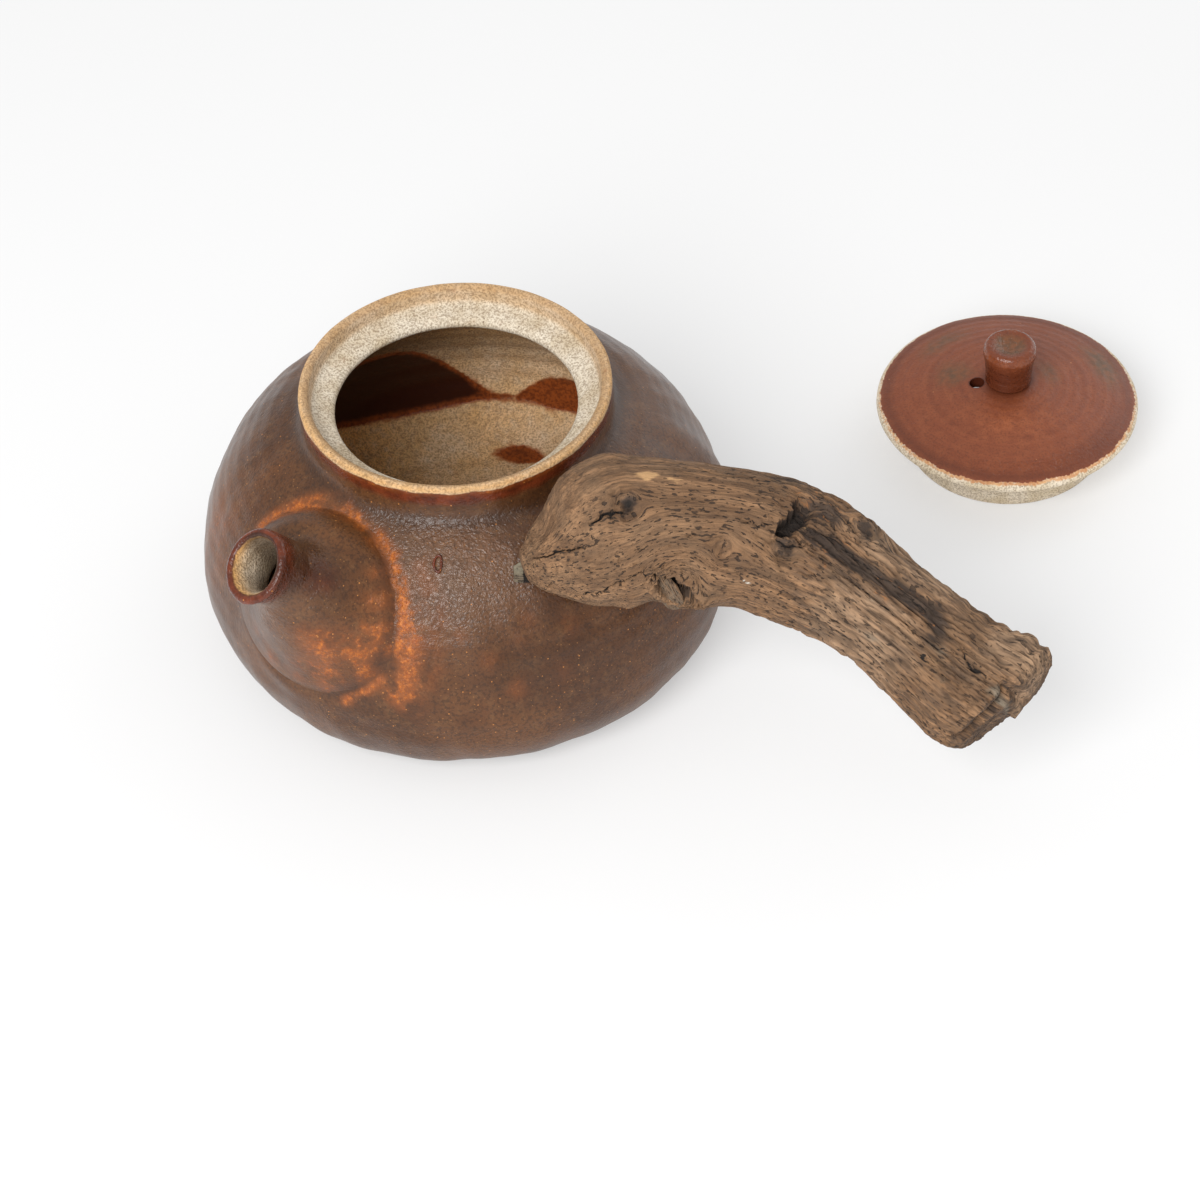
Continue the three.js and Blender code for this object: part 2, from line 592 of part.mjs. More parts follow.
function lid() {
  const foot = FLANGE_RADIUS - FLANGE_TAPER;
  const ceiling = (r) => LID_TOP + lidDome(r) - LID_THICKNESS;
  const inside = FLANGE_RADIUS - FLANGE_WALL;
  const profile = [
    [foot - FLANGE_WALL, 0.3],
    [foot - FLANGE_WALL + 0.4, 0],
    [foot - 0.3, 0],
    [foot, 0.3],
    [FLANGE_RADIUS, FLANGE_DEPTH - 0.8],
    [FLANGE_RADIUS + 0.8, FLANGE_DEPTH],
    [LID_RADIUS - 0.6, FLANGE_DEPTH],
    [LID_RADIUS, FLANGE_DEPTH + 0.7],
    [LID_RADIUS, LID_TOP - 0.8],
    [LID_RADIUS - 0.8, LID_TOP + lidDome(LID_RADIUS - 0.8)],
    ...[0.88, 0.76, 0.62, 0.47, 0.32, 0.18].map((k) => [k * LID_RADIUS, LID_TOP + lidDome(k * LID_RADIUS)]),
    [0, LID_TOP + lidDome(0)],
  ];
  const hollow = [
    [0, ceiling(0)],
    ...[0.3, 0.55, 0.75].map((k) => [k * inside, ceiling(k * inside)]),
    [inside - 2, ceiling(inside) - 1],
    [inside, ceiling(inside) - 3],
  ];
  const ventFoot = new THREE.Vector3(-VENT_OFFSET, 0, 0);
  const vent = rod(VENT_RADIUS, ventFoot, new THREE.Vector3(0, 0, 1), 1, 2 * LID_TOP, 20);
  return turned([...hollow, ...profile], LID_SIDES).subtract(vent);
}

// The knob follows the dome under it and has a dished top
function lidKnob() {
  const foot = (r) => LID_TOP + lidDome(r) + SEAM;
  const base = LID_TOP + LID_RISE;
  const top = base + KNOB_HEIGHT;
  const profile = [
    [0, foot(0)],
    [KNOB_FOOT_RADIUS / 2, foot(KNOB_FOOT_RADIUS / 2)],
    [KNOB_FOOT_RADIUS, foot(KNOB_FOOT_RADIUS)],
    [KNOB_FOOT_RADIUS, base + KNOB_HEIGHT * 0.25],
    [(KNOB_FOOT_RADIUS + KNOB_RADIUS) / 2 - 0.1, base + KNOB_HEIGHT * 0.55],
    [KNOB_RADIUS - 0.1, top - KNOB_SHOULDER - 0.8],
    [KNOB_RADIUS, top - KNOB_SHOULDER],
    [KNOB_RADIUS * 0.95, top - KNOB_SHOULDER * 0.4],
    [KNOB_RADIUS * 0.82, top - KNOB_SHOULDER * 0.06],
    [KNOB_RADIUS * 0.72, top],
    [KNOB_RADIUS * 0.6, top - KNOB_DISH * 0.3],
    [KNOB_RADIUS * 0.3, top - KNOB_DISH * 0.9],
    [0, top - KNOB_DISH],
  ];
  return turned(profile, KNOB_SIDES);
}

const pot = new THREE.Group();
pot.add(
  toMesh('pot_body', potBody(), GLAZE),
  toMesh('spout', spout(), GLAZE),
  toMesh('strainer', strainer(), CLAY),
  toMesh('handle_tenon', handleTenon(), CLAY),
  toMesh('handle_wedge', handleWedge(), WEDGE_WOOD),
  toMesh('driftwood_handle', driftwood(), WOOD),
);

const liftedLid = new THREE.Group();
liftedLid.position.set(...LID_PLACE, 0);
liftedLid.add(
  toMesh('lid', lid(), RED_GLAZE),
  toMesh('lid_knob', lidKnob(), RED_GLAZE),
);

const teapot = new THREE.Group();
teapot.add(pot, liftedLid);

export default teapot;
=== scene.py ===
# %% [markdown]
# # A side-handle teapot
# A squat stoneware pot with a spout like a funnel, a piece of driftwood for a handle, and its
# lid taken off beside it. This lesson dresses the plain solids of that pot: each one is
# replaced by a finer mesh on the same measures, and gets a finish made of nodes.
# The solids come in as a fixed frame, and every length below is in their millimetres until
# the moment a mesh is made.

# %% Load the frame
from itertools import product
from math import cos, pi, radians, sin

import bmesh
import bpy
import numpy as np
from mathutils import Matrix, Vector


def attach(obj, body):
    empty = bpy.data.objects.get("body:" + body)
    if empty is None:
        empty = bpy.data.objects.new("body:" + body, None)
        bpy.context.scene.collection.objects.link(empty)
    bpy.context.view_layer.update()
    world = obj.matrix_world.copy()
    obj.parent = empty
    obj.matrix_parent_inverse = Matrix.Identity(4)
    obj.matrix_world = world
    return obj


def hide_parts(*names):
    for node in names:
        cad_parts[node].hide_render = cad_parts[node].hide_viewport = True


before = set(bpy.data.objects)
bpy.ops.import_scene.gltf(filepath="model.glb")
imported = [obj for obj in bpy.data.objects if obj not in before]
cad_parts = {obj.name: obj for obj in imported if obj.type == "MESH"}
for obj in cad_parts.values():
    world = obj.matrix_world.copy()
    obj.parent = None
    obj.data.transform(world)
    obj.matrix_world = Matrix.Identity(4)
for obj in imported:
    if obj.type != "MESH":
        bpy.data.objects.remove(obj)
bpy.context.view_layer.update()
MM = 0.001


def put(name, data):
    """A new object in the scene, holding a mesh, a lamp or a lens."""
    piece = bpy.data.objects.new(name, data)
    bpy.context.scene.collection.objects.link(piece)
    return piece


print("solids:", ", ".join(sorted(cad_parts)))

# %% [markdown]
# ## Camera
# The photograph looks down at 45 degrees through a long lens. The rim, the mouth and the lid
# are true circles, so the ellipses they make fix where the camera stood. A long lens far
# away keeps the pot from looking swollen, which a short lens close by would do.

# %% Camera
EYE = (31.49, -620.85, 617.00)
RIGHT = (0.99852, -0.03846, -0.03850)
UP = (0.05442, 0.70567, 0.70645)
FORWARD = (0.0, 0.70750, -0.70672)

lens = bpy.data.cameras.new("camera")
lens.lens, lens.sensor_width = 104.8, 36
lens.clip_start, lens.clip_end = 0.01, 50
camera = put("camera", lens)
axes = Matrix((RIGHT, UP, [-c for c in FORWARD])).transposed()
camera.matrix_world = Matrix.Translation(Vector(EYE) * MM) @ axes.to_4x4()
bpy.context.scene.camera = camera
bpy.context.scene.view_settings.view_transform = "Standard"
print("camera at", [round(c, 3) for c in camera.location])

# %% [markdown]
# ## Building node trees by name
# Every finish and every generated shape below is a node tree. One helper adds a node, sets
# its options, and either links each input to another node's output or gives it a value.
# A tree then reads from top to bottom like a recipe.

# %% A helper for node trees
class Tree:
    """Adds nodes to a tree and wires their inputs by name."""

    def __init__(self, tree):
        self.tree = tree

    def add(self, kind, inputs=None, output=0, **options):
        node = self.tree.nodes.new(kind)
        for name, value in options.items():
            setattr(node, name, value)
        for key, value in (inputs or {}).items():
            socket = node.inputs[key]
            if isinstance(value, bpy.types.NodeSocket):
                self.tree.links.new(value, socket)
            else:
                socket.default_value = value
        return node.outputs[output] if node.outputs else node

    def math(self, operation, first, second=0.0, clamp=False):
        inputs = {0: first, 1: second}
        return self.add("ShaderNodeMath", inputs, operation=operation, use_clamp=clamp)

    def plus(self, first, second):
        return self.math("ADD", first, second)

    def minus(self, first, second):
        return self.math("SUBTRACT", first, second)

    def times(self, first, second):
        return self.math("MULTIPLY", first, second)

    def vector(self, operation, first, second=(0.0, 0.0, 0.0)):
        return self.add("ShaderNodeVectorMath", {0: first, 1: second}, operation=operation)

    def parts(self, vector):
        """The X, Y and Z of a vector, by name."""
        return self.add("ShaderNodeSeparateXYZ", {0: vector}).node.outputs


def cleared(owner):
    """The empty node tree of a material or a world."""
    owner.use_nodes = True
    owner.node_tree.nodes.clear()
    return owner.node_tree


def shape_tree(name, sockets):
    """A new Geometry Nodes tree with these inputs, and where to read them."""
    group = bpy.data.node_groups.new(name, "GeometryNodeTree")
    for label, kind in sockets.items():
        group.interface.new_socket(label, in_out="INPUT", socket_type="NodeSocket" + kind)
    group.interface.new_socket("Geometry", in_out="OUTPUT", socket_type="NodeSocketGeometry")
    tree = Tree(group)
    return tree, group.nodes.new("NodeGroupInput").outputs


def feed(piece, group, values):
    """Adds a Geometry Nodes tree to a piece, with its inputs by name."""
    step = piece.modifiers.new(group.name, "NODES")
    step.node_group = group
    for item in group.interface.items_tree:
        if item.in_out == "INPUT" and item.name in values:
            step[item.identifier] = values[item.name]


# %% [markdown]
# ## Random but repeatable unevenness
# Nothing thrown by hand or grown by a tree is even. This field takes random numbers fixed
# on a lattice and blends between them, so that the same place gets the same value each run.

# %% A smooth random field
CORNERS = list(product((0, 1), repeat=3))


def noise(points, size, seed=0, octaves=1):
    """A smooth random number from -1 to 1 at each point, with bumps about size wide."""
    total, share = np.zeros(len(points)), 1.0
    for octave in range(octaves):
        place = points / (np.asarray(size) / 2**octave) + 31.7 * seed + 11.3 * octave
        cell = np.floor(place).astype(np.int64)
        blend = place - cell
        blend = blend * blend * (3 - 2 * blend)
        for corner in CORNERS:
            weight = np.prod(np.where(corner, blend, 1 - blend), axis=1)
            mixed = (cell + corner) @ np.array([73856093, 19349663, 83492791])
            mixed = (mixed ^ (mixed >> 13)) * 1274126177 & 0x7FFFFFFF
            mixed = (mixed ^ (mixed >> 15)) * 668265263 & 0x7FFFFFFF
            total += share * weight * (mixed / 0x3FFFFFFF - 1)
        share *= 0.5
    return total


def smooth(x, low=0.0, high=1.0):
    """0 up to low, 1 from high, with an easy slope between."""
    x = np.clip((x - low) / (high - low), 0, 1)
    return x * x * (3 - 2 * x)


def fading(x, low, high):
    """1 up to low, 0 from high, with an easy slope between."""
    return smooth(-x, -high, -low)


def bell(x, width, y=0.0, height=1.0):
    """1 where x and y are 0, falling off over about a width and a height."""
    return np.exp(-((x / width) ** 2) - (y / height) ** 2)


def unit(v):
    return v / np.linalg.norm(v, axis=-1, keepdims=True)


# %% Helpers for meshes
def object_from(name, points, faces):
    """A new object from points in millimetres."""
    mesh = bpy.data.meshes.new(name)
    mesh.from_pydata((np.asarray(points) * MM).tolist(), [], faces)
    return put(name, mesh)


def outward(piece, crease=35):
    """Merges doubles, turns faces outwards and shades smooth, but for creases."""
    mesh = bmesh.new()
    mesh.from_mesh(piece.data)
    bmesh.ops.remove_doubles(mesh, verts=mesh.verts, dist=1e-7)
    bmesh.ops.recalc_face_normals(mesh, faces=mesh.faces)
    if mesh.calc_volume(signed=True) < 0:
        bmesh.ops.reverse_faces(mesh, faces=mesh.faces)
    for face in mesh.faces:
        face.smooth = True
    for edge in mesh.edges:
        edge.smooth = edge.calc_face_angle(0) < radians(crease)
    mesh.to_mesh(piece.data)
    mesh.free()


def loft(name, rings, closed=False, crease=35):
    """Skin over rings of points, ended by a fan at each end or closed on itself."""
    count, sides = rings.shape[:2]
    points = rings.reshape(-1, 3)
    rows = np.arange(count if closed else count - 1)[:, None]
    side = np.arange(sides)[None, :]
    here, ahead = rows * sides, (rows + 1) % count * sides
    turn = (side + 1) % sides
    quads = np.stack([here + side, here + turn, ahead + turn, ahead + side], -1)
    faces = quads.reshape(-1, 4).tolist()
    if not closed:
        points = np.vstack([points, rings[0].mean(0), rings[-1].mean(0)])
        first, last = len(points) - 2, len(points) - 1
        start = (count - 1) * sides
        faces += [[first, (i + 1) % sides, i] for i in range(sides)]
        faces += [[last, start + i, start + (i + 1) % sides] for i in range(sides)]
    piece = object_from(name, points, faces)
    outward(piece, crease)
    return piece


def ring(sides, across, other):
    """A circle of points round the origin, spanned by two directions."""
    turn = np.linspace(0, 2 * pi, sides, endpoint=False)[:, None]
    return across * np.cos(turn) + other * np.sin(turn)


def read(items, field, width=3):
    """A field of a mesh's points as an array, with a row for each point."""
    flat = np.empty(len(items) * width, np.float32)
    items.foreach_get(field, flat)
    return flat.reshape(-1, width).astype(float)


def places(piece):
    """The piece's points in millimetres."""
    return read(piece.data.vertices, "co") / MM


def move_to(piece, points):
    """Moves the piece's points to these places, in millimetres."""
    piece.data.vertices.foreach_set("co", (points * MM).astype(np.float32).ravel())
    piece.data.update()


def normals(piece):
    return read(piece.data.vertex_normals, "vector")


def paint(piece, name, values):
    """Stores one number, or one vector, for each point, for the finish to read."""
    values = np.asarray(values, np.float32)
    kind, field = ("FLOAT", "value") if values.ndim == 1 else ("FLOAT_VECTOR", "vector")
    attribute = piece.data.attributes.get(name) or piece.data.attributes.new(name, kind, "POINT")
    attribute.data.foreach_set(field, values.ravel())


def masks(piece, names, **given):
    """Paints each named mask with what is given for it, or else with none."""
    for name in names:
        paint(piece, name, np.zeros(len(piece.data.vertices)) + given.get(name, 0.0))


def dress(piece, finish):
    """Gives the whole piece one finish."""
    piece.data.materials.clear()
    piece.data.materials.append(finish)
    piece.data.polygons.foreach_set("material_index", [0] * len(piece.data.polygons))


def settle(piece):
    """Turns what the modifiers make into the piece's own plain mesh."""
    graph = bpy.context.evaluated_depsgraph_get()
    made = bpy.data.meshes.new_from_object(
        piece.evaluated_get(graph), preserve_all_data_layers=True, depsgraph=graph
    )
    piece.modifiers.clear()
    piece.data = made


def cut(piece, *tools):
    """Takes the tools' volume out of the piece and removes the tools."""
    for tool in tools:
        step = piece.modifiers.new("cut", "BOOLEAN")
        step.operation, step.solver, step.object = "DIFFERENCE", "MANIFOLD", tool
    settle(piece)
    for tool in tools:
        bpy.data.objects.remove(tool)


def tell(piece):
    """Prints how fine a piece is."""
    count = sum(len(face.vertices) - 2 for face in piece.data.polygons)
    print(f"{piece.name}: {count} triangles")


ROD_SIDES = 48


def rod(name, radius, foot, along, low, high):
    """A closed rod along a direction, from low to high above its foot."""
    along = unit(np.asarray(along, float))
    across = unit(np.cross(along, [0.3, 0.9, 0.2]))
    height = np.array([low, high])[:, None, None]
    circle = ring(ROD_SIDES, across, np.cross(along, across))
    return loft(name, foot + along * height + radius * circle)


# %% [markdown]
# ## The thrown forms
# The pot, its lid and the knob are thrown: clay turned on a wheel while the potter's fingers
# shape one outline. That is a rule, so Geometry Nodes can follow it. A flat grid is rolled
# round the axis, row by row, and each row takes its radius and height from one point of an
# outline. The outline also says, point by point, how strong the fingers' spiral marks and
# the clay's unevenness are. A screw modifier could roll the outline too, but without the
# spiral and with no say over where the clay is left uneven.

# %% The wheel, a Geometry Nodes tree
# Nearer to the axis than this, the fingers' marks die down
CALM_RADIUS = 6.0


def wheel_tree():
    """The tree that rolls an outline round the axis, with marks and lumps pushed into it."""
    sockets = {
        "Outline": "Object",
        "Rows": "Int",
        "Sides": "Int",
        "Finger Pitch": "Float",
        "Unevenness Size": "Float",
        "Seed": "Float",
        "Finish": "Material",
    }
    t, given = shape_tree("wheel", sockets)
    outline = t.add("GeometryNodeObjectInfo", {"Object": given["Outline"]}, "Geometry")
    columns = t.plus(given["Sides"], 1)
    grid = t.add(
        "GeometryNodeMeshGrid",
        {"Size X": 1, "Size Y": 1, "Vertices X": given["Rows"], "Vertices Y": columns},
    )
    position = t.add("GeometryNodeInputPosition")
    flat = t.parts(position)
    last = t.minus(given["Rows"], 1)
    row = t.math("ROUND", t.times(t.plus(flat["X"], 0.5), last))
    angle = t.times(t.plus(flat["Y"], 0.5), 2 * pi)

    def sample(value, index, kind):
        inputs = {"Geometry": outline, "Value": value, "Index": index}
        return t.add("GeometryNodeSampleIndex", inputs, data_type=kind, clamp=True)

    def strength(name):
        value = t.add("GeometryNodeInputNamedAttribute", {"Name": name}, data_type="FLOAT")
        return sample(value, row, "FLOAT")

    here = sample(position, row, "FLOAT_VECTOR")
    before = sample(position, t.minus(row, 1), "FLOAT_VECTOR")
    after = sample(position, t.plus(row, 1), "FLOAT_VECTOR")
    run = t.vector("NORMALIZE", t.vector("SUBTRACT", after, before))
    slope, point = t.parts(run), t.parts(here)
    round_x, round_y = t.math("COSINE", angle), t.math("SINE", angle)

    def wrap(radius, height):
        parts = {"X": t.times(radius, round_x), "Y": t.times(radius, round_y), "Z": height}
        return t.add("ShaderNodeCombineXYZ", parts)

    grain = t.add(
        "ShaderNodeTexNoise",
        {
            "Vector": wrap(point["X"], point["Z"]),
            "W": given["Seed"],
            "Scale": t.math("DIVIDE", 1, given["Unevenness Size"]),
            "Detail": 2.0,
        },
        noise_dimensions="4D",
    )
    uneven = t.times(t.minus(grain, 0.5), strength("uneven"))
    climb = t.math("DIVIDE", t.minus(point["Z"], point["X"]), given["Finger Pitch"])
    spiral = t.math("SINE", t.plus(t.times(climb, 2 * pi), angle))
    off_axis = t.math("MULTIPLY", point["X"], 1 / (CALM_RADIUS * MM), clamp=True)
    finger = t.times(t.times(spiral, strength("finger")), off_axis)
    push = t.plus(uneven, finger)
    outwards = t.times(t.times(slope["Z"], push), off_axis)
    radius = t.plus(point["X"], outwards)
    height = t.minus(point["Z"], t.times(slope["X"], push))
    rolled = t.add("GeometryNodeSetPosition", {"Geometry": grid, "Position": wrap(radius, height)})
    closed = t.add("GeometryNodeMergeByDistance", {"Geometry": rolled, "Distance": 1e-6})
    shaded = t.add("GeometryNodeSetShadeSmooth", {"Geometry": closed})
    whole = t.add("GeometryNodeRealizeInstances", {"Geometry": shaded})
    dressed = t.add("GeometryNodeSetMaterial", {"Geometry": whole, "Material": given["Finish"]})
    t.add("NodeGroupOutput", {"Geometry": dressed})
    return t.tree


WHEEL = wheel_tree()
print("wheel:", len(WHEEL.nodes), "nodes")


# %% [markdown]
# An outline is drawn in stretches, each with its own spacing: fine at the lip, where the
# clay turns sharply, and coarser on the long walls. Its corners are then worn round by
# averaging each point with its neighbours, as a wet sponge would do.

# %% Outlines, and turning one on the wheel
def drawn(*stretches, worn=3):
    """Points of an outline, with the finger and uneven strengths of each stretch."""
    rows, strengths = [], []
    for corners, step, finger, uneven in stretches:
        corners = np.array(corners, float)
        gaps = np.linalg.norm(np.diff(corners, axis=0), axis=1)
        length = np.concatenate([[0], np.cumsum(gaps)])
        count = max(2, int(round(length[-1] / step)) + 1)
        at = np.linspace(0, length[-1], count)
        line = np.stack([np.interp(at, length, corners[:, i]) for i in (0, 1)], 1)
        keep = 1 if rows else 0
        rows.append(line[keep:])
        strengths.append(np.tile([finger, uneven], (count - keep, 1)))
    outline, strengths = np.vstack(rows), np.vstack(strengths)
    for _ in range(worn):
        outline[1:-1] = outline[1:-1] / 2 + (outline[:-2] + outline[2:]) / 4
    for _ in range(6):
        strengths[1:-1] = strengths[1:-1] / 2 + (strengths[:-2] + strengths[2:]) / 4
    return outline, strengths


def thrown(name, stretches, sides, finish, centre=(0, 0), pitch=6.5, lump=14.0, seed=1, worn=3):
    """A form turned on the wheel, as a plain mesh in its place."""
    outline, strengths = drawn(*stretches, worn=worn)
    pattern = object_from(name + "-outline", np.insert(outline, 1, 0, axis=1), [])
    paint(pattern, "finger", strengths[:, 0] * MM)
    paint(pattern, "uneven", strengths[:, 1] * MM)
    piece = object_from(name, np.zeros((1, 3)), [])
    inputs = {
        "Outline": pattern,
        "Rows": len(outline),
        "Sides": sides,
        "Finger Pitch": pitch * MM,
        "Unevenness Size": lump * MM,
        "Seed": float(seed),
        "Finish": finish,
    }
    feed(piece, WHEEL, inputs)
    settle(piece)
    bpy.data.objects.remove(pattern)
    piece.data.transform(Matrix.Translation((centre[0] * MM, centre[1] * MM, 0)))
    outward(piece)
    return piece


# %% [markdown]
# ## Measures of the pot
# These are the measures that the solids were made from, in millimetres. The outside is two
# quarters of a fattened ellipse, one under the belly and one over it, and then a short neck.

# %% Measures of the pot
SEAM = 0.3
FOOT_RADIUS, BELLY_RADIUS, BELLY_HEIGHT = 45.3, 65.0, 21.6
LOWER_FULLNESS, UPPER_FULLNESS = 2.37, 1.72
SHOULDER_HEIGHT, NECK_RADIUS, NECK_FILLET = 61.4, 37.0, 3.0
RIM_HEIGHT, LIP_RADIUS, LIP_WIDTH = 72.0, 37.4, 2.8
GALLERY_RADIUS, LEDGE_HEIGHT, LEDGE_FALL = 34.6, 67.4, 1.0
MOUTH_RADIUS, LEDGE_THICKNESS = 28.9, 3.0
WALL, BASE_THICKNESS = 3.2, 4.2
SWELL_POINTS = 25


def swell(start, end, fullness, low=0.0, high=1.0, bulge_first=True):
    """A quarter of a fattened ellipse, or the stretch of it from low to high."""
    angle = np.linspace(low, high, SWELL_POINTS) * pi / 2
    rise, fall = np.sin(angle) ** (2 / fullness), 1 - np.cos(angle) ** (2 / fullness)
    share = np.stack([rise, fall] if bulge_first else [fall, rise], 1)
    return np.array(start) + (np.array(end) - start) * share


def wall_line(inset=0.0, foot=0.0, low=0.07, high=0.84):
    """The wall from its foot over the belly to the shoulder, inset from the outside."""
    belly = [BELLY_RADIUS - inset, BELLY_HEIGHT]
    under = swell([FOOT_RADIUS - inset, foot], belly, LOWER_FULLNESS)
    top = [NECK_RADIUS - inset, SHOULDER_HEIGHT - inset]
    over = swell(belly, top, UPPER_FULLNESS, low, high, bulge_first=False)
    return np.vstack([under, over])


NECK_LINE = [
    [NECK_RADIUS + 0.4 * NECK_FILLET, SHOULDER_HEIGHT + 0.3 * NECK_FILLET],
    [NECK_RADIUS, SHOULDER_HEIGHT + NECK_FILLET],
    [NECK_RADIUS, (SHOULDER_HEIGHT + NECK_FILLET + RIM_HEIGHT) / 2],
    [LIP_RADIUS, RIM_HEIGHT - 1],
]
OUTSIDE = np.vstack([wall_line(), NECK_LINE])
INSIDE = wall_line(WALL, BASE_THICKNESS, 0.08, 0.86)


def radius_at(line, height):
    """How wide a line of the wall stands at a height."""
    return np.interp(height, line[:, 1], line[:, 0])


def seat_on(azimuth, height):
    """A point of the outside, its normal, the level direction and the one that climbs."""
    x, y = cos(radians(azimuth)), sin(radians(azimuth))
    slope = radius_at(OUTSIDE, height + 0.5) - radius_at(OUTSIDE, height - 0.5)
    point = np.array([x, y, 0]) * radius_at(OUTSIDE, height) + [0, 0, height]
    normal = unit(np.array([x, y, -slope]))
    level = np.array([-y, x, 0])
    return point, normal, level, np.cross(normal, level)


def polar(points, centre=(0, 0)):
    """Azimuth in degrees, the distance from the axis, and the height."""
    x, y = points[:, 0] - centre[0], points[:, 1] - centre[1]
    return np.degrees(np.arctan2(y, x)), np.hypot(x, y), points[:, 2]


def around(turn, about):
    """The difference of two azimuths, from -180 to 180 degrees."""
    return (turn - about + 180) % 360 - 180


print(f"outline of the pot: {len(OUTSIDE)} points, {RIM_HEIGHT} mm tall")

# %% [markdown]
# ## Glaze and clay
# The pot was fired with wood ash. Where ash and flame met it the clay is skinned with a
# brown glaze, satin with a wrinkled gloss on the shoulder, and flashed orange where the
# glaze ran thin. The lip, the gallery and the inside are bare speckled clay. One material
# holds all of these, because on the real pot they fade into each other. Masks stored on
# the mesh say how much of each there is, and noise in the object's own space frays their
# edges. Painting separate materials face by face would leave hard, straight borders.

# %% Helpers for finishes
def rgb(red, green, blue):
    """A colour as seen on a screen, 0 to 255, as the linear light that shaders use."""
    scaled = [c / 255 for c in (red, green, blue)]
    return [*(c / 12.92 if c <= 0.04045 else ((c + 0.055) / 1.055) ** 2.4 for c in scaled), 1.0]


class Finish(Tree):
    """A material's node tree, with the patterns that all the finishes share."""

    def __init__(self, name):
        self.material = bpy.data.materials.new(name)
        super().__init__(cleared(self.material))
        self.space = self.add("ShaderNodeTexCoord", output="Object")

    def mask(self, name):
        return self.add("ShaderNodeAttribute", output="Fac", attribute_name=name)

    def stretched(self, vector, scale):
        """Coordinates with a pattern's size in millimetres along each axis."""
        return self.vector("MULTIPLY", vector, [1 / s for s in scale])

    def noise(self, size, detail=2.0, vector=None, rough=0.5, warp=0.0):
        """Soft noise whose bumps are about size millimetres wide."""
        inputs = {
            "Vector": vector or self.space,
            "Scale": (1 if vector else 1 / MM) / size,
            "Detail": detail,
            "Roughness": rough,
            "Distortion": warp,
        }
        return self.add("ShaderNodeTexNoise", inputs)

    def range(self, value, low, high, start=0.0, end=1.0):
        inputs = {"Value": value, 1: low, 2: high, 3: start, 4: end}
        return self.add("ShaderNodeMapRange", inputs, interpolation_type="SMOOTHSTEP")

    def mix(self, share, first, second):
        inputs = {0: share, 6: first, 7: second}
        return self.add("ShaderNodeMix", inputs, 2, data_type="RGBA")

    def coat(self, color, share, over, strength=1.0):
        """A colour with another laid over it, as much as the share says."""
        return self.mix(share if strength == 1 else self.times(share, strength), color, over)

    def coats(self, color, *layers):
        """A colour under layers, each with its share, its colour and perhaps its strength."""
        for layer in layers:
            color = self.coat(color, *layer)
        return color

    def blend(self, share, first, second):
        return self.add("ShaderNodeMix", {0: share, 2: first, 3: second}, 0, data_type="FLOAT")

    def frayed(self, name, size, depth, low=0.35, high=0.65, detail=4.0):
        """A mask whose edge is eaten by noise."""
        ragged = self.times(self.minus(self.noise(size, detail), 0.5), depth)
        return self.range(self.plus(self.mask(name), ragged), low, high)

    def specks(self, size, share, spread):
        """Small round dots in some cells of a pattern of cells."""
        inputs = {"Vector": self.space, "Scale": 1 / MM / size}
        cells = self.add("ShaderNodeTexVoronoi", inputs, "Distance")
        chance = self.add("ShaderNodeSeparateColor", {0: cells.node.outputs["Color"]}, "Red")
        chosen = self.math("LESS_THAN", chance, share)
        return self.times(chosen, self.range(cells, spread, 0.5 * spread))

    def surface(self, color, rough, bump, relief, shine):
        """The finished material; its relief is as deep as bump, in millimetres."""
        inputs = {"Height": relief, "Distance": bump * MM, "Strength": 1.0}
        normal = self.add("ShaderNodeBump", inputs)
        inputs = {"Base Color": color, "Roughness": rough, "Normal": normal}
        inputs["Specular IOR Level"] = shine
        shader = self.add("ShaderNodeBsdfPrincipled", inputs)
        self.add("ShaderNodeOutputMaterial", {"Surface": shader})
        return self.material


# %% Glaze and clay
CLAY_MASKS = ("clay", "iron", "flash", "shade", "peel", "run", "toast")


